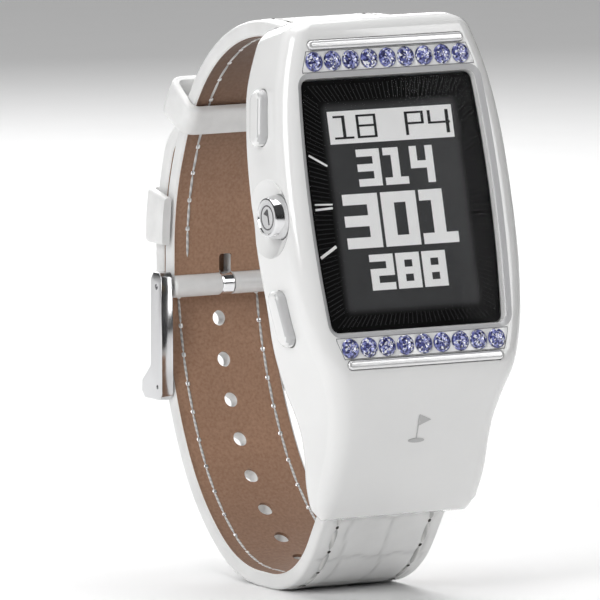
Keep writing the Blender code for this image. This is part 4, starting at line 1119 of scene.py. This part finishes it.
def strap_piece(name, stations, turn, half_width, thick):
    rings, painted_crease_shade = leather_rings(stations, turn, half_width, thick)
    outer = loft_object(name + "_leather", rings, LEATHER, WORLD, 40.0)
    # Per-vertex painted shade for the scale creases, read by the leather material.
    data = outer.data.attributes.new("crease", "FLOAT", "POINT")
    data.data.foreach_set("value", painted_crease_shade)
    rings = lining_rings(stations, turn, half_width, thick)
    lining = loft_object(name + "_lining_skin", rings, TAN, WORLD, 40.0)
    return outer, lining


def capsule(bm, centre, along, up, length, wide, high, steps=8, rows=7):
    """Flattened thread segment."""
    loops = []
    side = Vector((1.0, 0.0, 0.0))
    for k in range(rows + 1):
        t = -1 + 2 * k / rows
        size = math.sqrt(max(1 - abs(t) ** 3.2, 0.02))
        middle = centre + along * (t * length / 2)
        loops.append([middle + side * (wide * size * math.cos(math.tau * i / steps))
                      + up * (high * size * math.sin(math.tau * i / steps)) for i in range(steps)])
    loft(bm, loops)


STITCH_PITCH = 4.2


def stitching(name, stations, turn, half_width, thick, spans):
    """Threads and painted shade marks at the stitch openings on a strap's outer face, threads and bright
    knots on its inner.
    """
    threads, hole_shades, knots = bmesh.new(), bmesh.new(), bmesh.new()
    for face, start, stop in spans:
        s = start
        while s < stop:
            station = at(stations, s)
            heading = math.radians(station[2])
            along = Vector((0.0, math.cos(heading), math.sin(heading)))
            up = Vector((0.0, *outward(station, turn))) * face
            half = half_width(s)
            x = seam(half)
            lift = thick / 2 + (bulge(station) * (1 - (x / half) ** 4) - 0.02 if face > 0 else 0.04)
            for sign in (1, -1):
                spot = Vector((sign * x, station[0], station[1])) + up * lift
                gap = spot + along * (STITCH_PITCH / 2) - up * 0.02
                if face > 0:
                    capsule(threads, spot, along, up, STITCH_PITCH - 0.55, 0.40, 0.14)
                    # Painted shade: a dark mark where the thread enters the leather.
                    capsule(hole_shades, gap, along, up, 0.62, 0.24, 0.07, 8, 4)
                else:
                    capsule(threads, spot, along, up, STITCH_PITCH - 0.3, 0.20, 0.12)
                    capsule(knots, gap, along, up, 0.80, 0.36, 0.18, 10, 6)
            s += STITCH_PITCH
    for bm, part, mat in ((threads, "_thread", THREAD), (hole_shades, "_thread_hole_shade", HOLE_PAINTED_SHADE),
                          (knots, "_thread_knots", KNOT)):
        show(mesh_object(name + part, bm, mat, WORLD, 60.0), "watch", "white_leather")


def bore(obj, place, count, radius=BAR_BORE):
    """Passage right across a strap, round one of its bars."""
    cut(obj, rod_x(-PAST_STRAP, PAST_STRAP, radius, place, count))


def wrap(name, place, half, slots=()):
    """Leather folded round a bar."""
    profile = [(-half, BAR_RADIUS + 0.1), (-half, LOOP_RADIUS - 0.35), (-half + 0.12, LOOP_RADIUS - 0.1),
               (-half + 0.4, LOOP_RADIUS), (half - 0.4, LOOP_RADIUS), (half - 0.12, LOOP_RADIUS - 0.1),
               (half, LOOP_RADIUS - 0.35), (half, BAR_RADIUS + 0.1)]
    tube = loft_object(name, turned_x(profile, place, 48))
    bore(tube, place, 32)
    for rings in slots:
        cut(tube, rings)
    bake(tube, EDGE, 50.0)
    show(tube, "watch", "white_leather")


def hole_stations():
    start = long_mid_radius() * math.radians(TIP_SWEEP) + BUCKLE_DROP - TONGUE_ROOT
    return [at(LONG, start + HOLE_PITCH * i) for i in range(HOLE_COUNT)]


def hole_rings(station):
    ny, nz = outward(station, -1)
    ty, tz = -nz, ny
    return [[(x, station[0] + ny * reach + ty * t, station[1] + nz * reach + tz * t)
             for x, t in circle(HOLE_RADIUS, 28)] for reach in (-2.5, 2.5)]


def finish_strap(name, stations, turn, half, thick, outer, lining, front_span, back_span):
    """Bake both layers, attach them and stitch each face over its own span."""
    bake(outer, LEATHER, 40.0)
    bake(lining, TAN, 40.0)
    wrap(name + "_lug_wrap", stations[-1][:2], LUG_HALF_WIDTH)
    show(outer, "watch", "white_leather", name + "_outer")
    show(lining, "watch", "tan_lining", name + "_lining")
    stitching(name, stations, turn, half, thick, ((1, *front_span), (-1, *back_span)))


def short_strap():
    length, lug = SHORT[-1][3], SHORT[-1][:2]
    half = taper(length)
    outer, lining = strap_piece("strap_short", SHORT, 1, half, SHORT_THICK)
    y, z = SHORT[0][:2]
    slot_outline = [(-1.05, z - 4.0), (1.05, z - 4.0), (1.05, z + 3.9), (0.8, z + 4.2),
                    (-0.8, z + 4.2), (-1.05, z + 3.9)]
    slot_rings = prism_y(slot_outline, y - 4.0, y + 4.0)
    for place in (BAR, lug):
        bore(lining, place, 40, LOOP_CLEAR)
    for obj in (outer, lining):
        cut(obj, slot_rings)
        for place in (BAR, lug):
            bore(obj, place, 24)
    wrap("strap_short_buckle_wrap", BAR, BUCKLE_HALF_WIDTH, [slot_rings])
    finish_strap("strap_short", SHORT, 1, half, SHORT_THICK, outer, lining,
                 (4.5, length - 4.0), (6.0, length - 6.0))


def long_strap():
    length, lug = LONG[-1][3], LONG[-1][:2]
    half = tip_taper(length)
    radius = long_mid_radius()
    tip = []
    for s in (0.0, 0.12, 0.3, 0.55, 0.85, 1.2, 1.6, 2.1, 2.6, 3.2, 3.8, 4.4, 5.0, 5.6):
        angle = math.radians(TIP_SWEEP) - s / radius
        tip.append((CENTRE[0] + radius * math.cos(angle), CENTRE[1] + radius * math.sin(angle),
                    math.degrees(angle) - 90.0, s))
    stations = tip + [station for station in LONG if station[3] > 5.9]
    outer, lining = strap_piece("strap_long", stations, -1, half, LONG_THICK)
    bore(lining, lug, 40, LOOP_CLEAR)
    bore(outer, lug, 24)
    for station in hole_stations():
        for obj in (outer, lining):
            cut(obj, hole_rings(station))
    finish_strap("strap_long", LONG, -1, half, LONG_THICK, outer, lining,
                 (9.0, length - 4.0), (9.0, length - 6.0))


# ---- keepers --------------------------------------------------------------------------
def band_path(side, low, high, corner, closed):
    """Points (x, r, nx, nr) round a strap: up the right side, over the outside, down the left."""
    points = []
    corners = [(side - corner, high - corner, 0.0), (-side + corner, high - corner, 90.0)]
    if closed:
        corners += [(-side + corner, low + corner, 180.0), (side - corner, low + corner, 270.0)]
    else:
        points += [(side, r, 1.0, 0.0) for r in (low, lerp(low, high - corner, 0.5))]
    for x, r, start in corners:
        for k in range(9):
            a = math.radians(start + 90.0 * k / 8)
            points.append((x + corner * math.cos(a), r + corner * math.sin(a), math.cos(a), math.sin(a)))
        if start in (0.0, 180.0):
            sign = 1.0 if start == 0.0 else -1.0
            points += [(lerp(x, -x, k / 16), r + sign * corner, 0.0, sign) for k in range(1, 16)]
    if not closed:
        points += [(-side, r, -1.0, 0.0) for r in (lerp(low, high - corner, 0.5), low)]
    return points


def keeper(name, angles, side, low, high, closed):
    """Rolled leather hoop on the keeper arc."""
    thick, steps, edge = KEEPER_THICK, 10, 0.42
    mid = (low + high) / 2
    width = math.radians(angles[1] - angles[0]) * mid
    section = []
    for k in range(steps + 1):
        w = lerp(-width / 2 + edge, width / 2 - edge, k / steps)
        section.append((w, thick + 0.05 * (1 - (2 * w / width) ** 2)))
    section += arc(width / 2 - edge, thick - edge, edge, 90.0, range(1, 5), 4)
    section += [(width / 2, 0.15), (width / 2 - 0.15, 0.0), (-width / 2 + 0.15, 0.0), (-width / 2, 0.15)]
    section += arc(-width / 2 + edge, thick - edge, edge, 180.0, range(4), 4)
    bm = bmesh.new()
    middle = math.radians((angles[0] + angles[1]) / 2)
    loops = []
    for x, r, nx, nr in band_path(side, low, high, 0.9, closed):
        ring = []
        for w, t in section:
            angle, reach = middle + w / mid, r + nr * t
            ring.append((x + nx * t, CENTRE[0] + reach * math.cos(angle),
                         CENTRE[1] + reach * math.sin(angle)))
        loops.append(vertices(bm, ring))
    bridge(bm, loops, closed)
    if not closed:
        bm.faces.new(loops[0])
        bm.faces.new(list(reversed(loops[-1])))
    body = "free_keeper" if closed else "watch"
    show(mesh_object(name + "_hoop", bm, EDGE, WORLD, 40.0), body, "white_leather", name)


def keepers():
    outer_room = long_mid_radius() + LONG_THICK / 2 + KEEPER_GAP
    under = KEEPER_ARC - SHORT_THICK / 2
    side = BUCKLE_HALF_WIDTH + KEEPER_SIDE_GAP
    keeper("fixed_keeper", FIXED_KEEPER, side, under + 0.1, outer_room, False)
    keeper("free_keeper", FREE_KEEPER, side, under - KEEPER_GAP, outer_room, True)


# ---- buckle ---------------------------------------------------------------------------
def crossbar_place():
    return BAR[0] + 3.1, BAR[1] - 14.6


def buckle():
    """Open frame: two side arms joined by the crossbar, with small dimples outside."""
    y, z = BAR
    cy, cz = crossbar_place()
    inner, outer = ARM_INNER, ARM_INNER + ARM_THICK
    outline = [(y - 1.4, z + 1.4), (y - 0.8, z + 2.1), (y + 0.8, z + 2.1), (y + 1.6, z + 1.2),
               (y + 1.7, cz + 3.5), (cy + 1.0, cz + 1.2), (cy + 1.1, cz - 0.3), (cy + 0.2, cz - 1.2),
               (y - 0.9, cz - 1.2), (y - 1.5, cz - 0.4)]
    arm = loft_object("buckle_loop", prism_x(outline, -outer, -inner))
    cut(arm, prism_x(outline, inner, outer), WORLD, "UNION")
    cut(arm, rod_x(-outer + 0.5, outer - 0.5, CROSSBAR_RADIUS, (cy, cz), 36), WORLD, "UNION")
    depth = ARM_INNER + ARM_THICK * 0.75
    cut(arm, rod_x(-depth, depth, BAR_BORE, (y, z), 28))
    soften(arm, 0.42, 3, 50.0)
    for sign in (1, -1):
        for spot, radius in (((y, z + 0.1), 0.42), ((y - 0.3, cz + 0.6), 0.3)):
            ends = sorted((sign * (outer - 0.3), sign * (outer + 1.0)))
            cut(arm, rod_x(*ends, radius, spot, 20))
    bake(arm, STEEL, 40.0)
    show(arm, "buckle_frame", "plain_steel", "buckle_frame")


def smooth_line(points, count=8):
    """Catmull-Rom through y-z points."""
    result = []
    for i in range(len(points) - 1):
        p0, p1 = points[max(i - 1, 0)], points[i]
        p2, p3 = points[i + 1], points[min(i + 2, len(points) - 1)]
        for k in range(count):
            t = k / count
            result.append(tuple(
                0.5 * (2 * b + (c - a) * t + (2 * a - 5 * b + 4 * c - d) * t * t
                       + (3 * b - a - 3 * c + d) * t ** 3) for a, b, c, d in zip(p0, p1, p2, p3)))
    return result + [points[-1]]


def tongue():
    """Prong bent from its eye on the bar over the crossbar, narrowing to a round end."""
    y, z = BAR
    cy, cz = crossbar_place()
    prong_y = cy + CROSSBAR_RADIUS + 0.75
    root = z + TONGUE_ROOT
    points = smooth_line([(y + 1.0, root), (y + 3.0, root), (y + 4.8, root - 0.1),
                          (y + 5.6, root - 1.0), (y + 5.7, root - 2.3),
                          (lerp(y + 5.7, prong_y, 0.5), z - 7.5), (prong_y, cz + 1.5),
                          (prong_y - 0.15, cz - 1.2)])
    rings = []
    last = len(points) - 1
    for i, (py, pz) in enumerate(points):
        before, after = points[max(i - 1, 0)], points[min(i + 1, last)]
        dy, dz = after[0] - before[0], after[1] - before[1]
        size = math.hypot(dy, dz)
        ny, nz = -dz / size, dy / size
        end = min(1.0, math.sqrt(max((last - i) / 3.0, 0.03)))
        ring = []
        for k in range(16):
            a = math.tau * (k + 0.5) / 16
            c, q = math.cos(a), math.sin(a)
            wide = TONGUE_WIDTH / 2 * end * math.copysign(abs(c) ** 0.55, c)
            high = TONGUE_THICK / 2 * end * math.copysign(abs(q) ** 0.55, q)
            ring.append((wide, py + ny * high, pz + nz * high))
        rings.append(ring)
    prong = loft_object("tongue_prong", rings)
    half = 0.95
    profile = [(-half, 1.5), (-half + 0.16, 1.66), (half - 0.16, 1.66), (half, 1.5)]
    cut(prong, turned_x(profile, (y, z), 36), WORLD, "UNION")
    cut(prong, rod_x(-2.0, 2.0, BAR_BORE, (y, z), 28))
    bake(prong, CHROME, 40.0)
    show(prong, "buckle_tongue", "plain_steel", "buckle_tongue")


# ---- stage ----------------------------------------------------------------------------
TURN_SIN, TURN_COS = 0.5, 0.866025
CAMERA_RISE, CAMERA_DISTANCE, CAMERA_LENS = 7.1, 2.0, 876.0
SHIFT_RIGHT, SHIFT_UP = 0.01418, 0.01358
FLOOR_HALF = 6.0


def camera():
    """Distant long lens, 30 degrees round to the left and a little above the watch."""
    rise = math.radians(CAMERA_RISE)
    back = Vector((-TURN_SIN * math.cos(rise), -TURN_COS * math.cos(rise), math.sin(rise)))
    right = Vector((TURN_COS, -TURN_SIN, 0.0))
    up = back.cross(right)
    data = bpy.data.cameras.new("camera")
    data.lens = CAMERA_LENS
    data.sensor_width = 36.0
    data.clip_start, data.clip_end = 0.1, 20.0
    obj = bpy.data.objects.new("camera", data)
    bpy.context.scene.collection.objects.link(obj)
    target = Vector(GLASS_CENTRE) * MM - right * SHIFT_RIGHT - up * SHIFT_UP
    obj.location = target + back * CAMERA_DISTANCE
    obj.rotation_mode = "QUATERNION"
    obj.rotation_quaternion = Matrix((right, up, back)).transposed().to_quaternion()
    bpy.context.scene.camera = obj


def softbox(name, place, target, size, power):
    data = bpy.data.lights.new(name, "AREA")
    data.shape = "RECTANGLE"
    data.size, data.size_y = size
    data.energy = power
    obj = bpy.data.objects.new(name, data)
    bpy.context.scene.collection.objects.link(obj)
    obj.location = place
    obj.rotation_mode = "QUATERNION"
    obj.rotation_quaternion = (Vector(target) - Vector(place)).to_track_quat("-Z", "Y")


def studio():
    """Soft lights round the watch, a world brighter towards the top, and a flat white floor."""
    middle = (0.0, 0.0, 0.04)
    softbox("key_left", (-0.52, -0.20, 0.34), middle, (0.26, 0.40), 2.1)
    softbox("front_right", (0.42, -0.50, 0.30), middle, (0.2, 0.3), 0.65)
    softbox("top", (0.02, 0.08, 0.6), middle, (0.5, 0.5), 2.3)
    softbox("back", (0.15, 0.5, 0.3), middle, (0.4, 0.3), 1.3)
    softbox("floor_behind", (0.8, 1.6, 1.3), (0.75, 1.5, 0.0), (2.6, 2.6), 13.0)
    world = bpy.data.worlds.new("studio")
    bpy.context.scene.world = world
    bpy.context.scene.view_settings.view_transform = "Standard"
    world.use_nodes = True
    nodes, links = world.node_tree.nodes, world.node_tree.links
    direction = nodes.new("ShaderNodeTexCoord")
    split = nodes.new("ShaderNodeSeparateXYZ")
    ramp = nodes.new("ShaderNodeMapRange")
    for socket, value in (("From Min", 0.05), ("From Max", 0.45), ("To Min", 0.3), ("To Max", 1.1)):
        ramp.inputs[socket].default_value = value
    links.new(direction.outputs["Generated"], split.inputs[0])
    links.new(split.outputs["Z"], ramp.inputs["Value"])
    links.new(ramp.outputs["Result"], nodes["Background"].inputs["Strength"])
    floor_mat = moulded("floor_paper", (0.93, 0.93, 0.93), (0.75, 0.85), 0.99)
    bm = bmesh.new()
    half = FLOOR_HALF / MM
    bm.faces.new(vertices(bm, [(-half, -half, 0.0), (half, -half, 0.0), (half, half, 0.0),
                               (-half, half, 0.0)]))
    mesh_object("floor", bm, floor_mat, WORLD, 60.0)


def main():
    camera()
    studio()
    case_shell()
    bezel_ring()
    lug_emblem()
    stone_row("upper", 1)
    stone_row("lower", -1)
    pusher("upper", 1)
    pusher("lower", -1)
    crown()
    dial_plate()
    dial_rays()
    screen()
    readout()
    short_strap()
    long_strap()
    keepers()
    buckle()
    tongue()


main()
